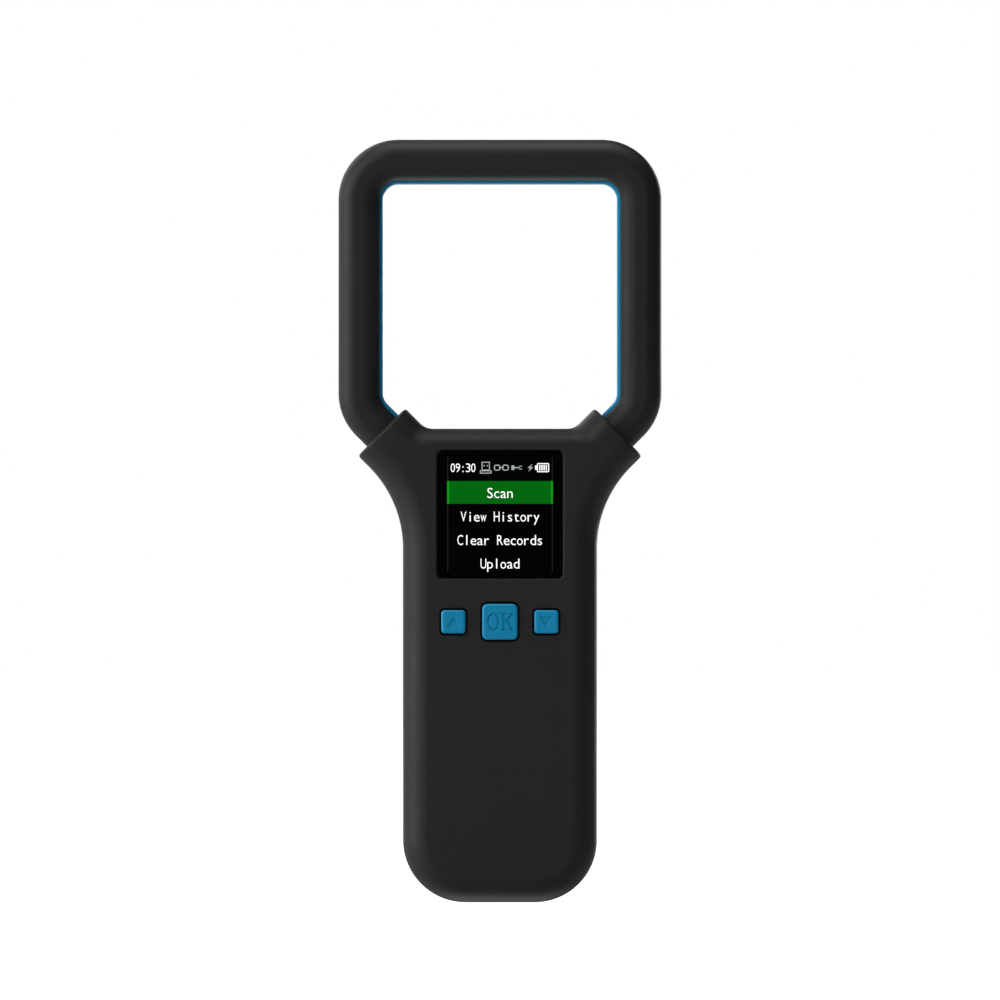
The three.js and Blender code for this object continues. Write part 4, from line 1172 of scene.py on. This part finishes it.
class SCANNER_OT_keys(bpy.types.Operator):
    """Build the three keycaps with their engraved signs"""

    bl_idname = "scanner.keys"
    bl_label = "Keys"

    def execute(self, context):
        keys, colours = context.scene.scanner_keys, context.scene.scanner_colours
        skin = moulded(
            "key_blue_plastic", tuple(colours.blue), 0.36, 0.00016, 0.000006, 0.28)
        for name, centre, size, corner in key_places(keys):
            cap = key_form(keys, centre, size, corner, name).object(f"{name}_cap", skin)
            placed(cap, f"{name}_button", "blue_plastic", f"{name}_key")
        return {"FINISHED"}


class SCANNER_OT_window(bpy.types.Operator):
    """Build the cover glass"""

    bl_idname = "scanner.window"
    bl_label = "Window"

    def execute(self, context):
        glass = window_form(context.scene.scanner_screen).object("cover_glass", black_glass())
        placed(glass, "reader", "black_glass", "window")
        return {"FINISHED"}


class SCANNER_OT_picture(bpy.types.Operator):
    """Light up the menu and the status bar on the screen"""

    bl_idname = "scanner.picture"
    bl_label = "Picture"

    def execute(self, context):
        screen, colours = context.scene.scanner_screen, context.scene.scanner_colours
        low, high = np.array(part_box("window"))
        (middle_x, middle_z), top = middle_of("window"), float(high[2])
        lit_face = float(low[1]) - 2 * SHEET
        front, wide = lit_face - SHEET, screen.picture_width / 2
        first_row, status_row = top - 0.0101, top - 0.0042
        menu_pitch, clock_pitch = 0.00158, 0.00122
        white = lit("screen_white", (0.96, 0.97, 0.96), 1.3)
        grey = lit("screen_grey", (0.42, 0.46, 0.45))
        green = lit("screen_green", tuple(colours.green), 1.0, wide - 0.0005)
        dim = lit("screen_edge", (0.012, 0.013, 0.013))

        def show(form, name, finish):
            placed(form.object(name, finish), "reader", "screen_glass")

        show(plate(bar(middle_x, first_row, 2 * wide, screen.chosen_row), lit_face, 0.8 * SHEET),
             "menu_row", green)
        show(joined([
            plate(bar(middle_x + side * (wide - 0.00015), middle_z, 0.00025, 0.0272),
                  lit_face + 0.6 * SHEET, 0.4 * SHEET) for side in (-1, 1)]),
             "picture_edges", dim)
        for place, text in enumerate(("Scan", "View History", "Clear Records", "Upload")):
            height = first_row - 0.0001 - place * screen.row
            show(words(text, middle_x, height, menu_pitch, screen.letters, front),
                 f"menu_{place + 1}", white)
        show(words(screen.clock, middle_x - 0.0088, status_row, clock_pitch,
                   screen.clock_digits, front), "clock", white)
        show(status_signs(middle_x - 0.0034, status_row, 0.00076, front), "status_signs", grey)
        show(battery_sign(middle_x + 0.01025, status_row, 0.00074, front), "battery_sign", white)
        return {"FINISHED"}


class SCANNER_OT_screws(bpy.types.Operator):
    """Build the heads of the four shell screws"""

    bl_idname = "scanner.screws"
    bl_label = "Screws"

    def execute(self, context):
        steel = brushed("screw_steel", (0.16, 0.16, 0.17), 0.34)
        for name in SHELL_SCREWS:
            head = screw_form(name).object(name.replace("shell_screw", "screw_head"), steel)
            placed(head, "reader", "plated_steel", name)
        return {"FINISHED"}


class SCANNER_OT_socket(bpy.types.Operator):
    """Build the charging socket in the bottom end"""

    bl_idname = "scanner.socket"
    bl_label = "Socket"

    def execute(self, context):
        steel = brushed("socket_steel", (0.58, 0.59, 0.60), 0.24)
        placed(socket_form().object("socket_shell", steel), "reader", "plated_steel", "usb_socket")
        tongue = moulded("tongue_resin", (0.012, 0.012, 0.013), 0.5)
        placed(tongue_form().object("socket_tongue", tongue), "reader", "component_black")
        gilt = brushed("gilt_contacts", (0.75, 0.48, 0.16), 0.25)
        placed(contacts_form().object("socket_contacts", gilt), "reader", "plated_steel")
        return {"FINISHED"}


class SCANNER_OT_inside(bpy.types.Operator):
    """Give every piece that stays as it is its finish"""

    bl_idname = "scanner.inside"
    bl_label = "Inside"

    def execute(self, context):
        finishes = inner_finishes(context.scene.scanner_colours)
        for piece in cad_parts.values():
            for place in piece.material_slots:
                place.material = finishes[place.material.name.split(".")[0]]
        return {"FINISHED"}


OPERATORS = (
    SCANNER_OT_stage,
    SCANNER_OT_inside,
    SCANNER_OT_handle,
    SCANNER_OT_loop,
    SCANNER_OT_keys,
    SCANNER_OT_window,
    SCANNER_OT_picture,
    SCANNER_OT_screws,
    SCANNER_OT_socket,
)


class SCANNER_PT_panel(bpy.types.Panel):
    """The scanner's sizes, colours and pieces"""

    bl_label = "Microchip Scanner"
    bl_idname = "SCANNER_PT_panel"
    bl_space_type = "VIEW_3D"
    bl_region_type = "UI"
    bl_category = "Scanner"

    def draw(self, context):
        for operator in OPERATORS:
            self.layout.operator(operator.bl_idname)
        for key, group in SETTINGS.items():
            box = self.layout.box()
            box.label(text=group.__doc__)
            for name in group.__annotations__:
                box.prop(getattr(context.scene, key), name)


CLASSES = (*SETTINGS.values(), *OPERATORS, SCANNER_PT_panel)


def register():
    """Adds the classes and the settings to Blender."""
    for item in CLASSES:
        bpy.utils.register_class(item)
    for key, group in SETTINGS.items():
        setattr(bpy.types.Scene, key, PointerProperty(type=group))


def unregister():
    """Takes the settings and the classes out of Blender."""
    for key in SETTINGS:
        delattr(bpy.types.Scene, key)
    for item in reversed(CLASSES):
        bpy.utils.unregister_class(item)


def main():
    """Builds the whole scanner and its stage."""
    register()
    for operator in OPERATORS:
        getattr(bpy.ops.scanner, operator.bl_idname.split(".")[1])()


if __name__ == "__main__":
    main()
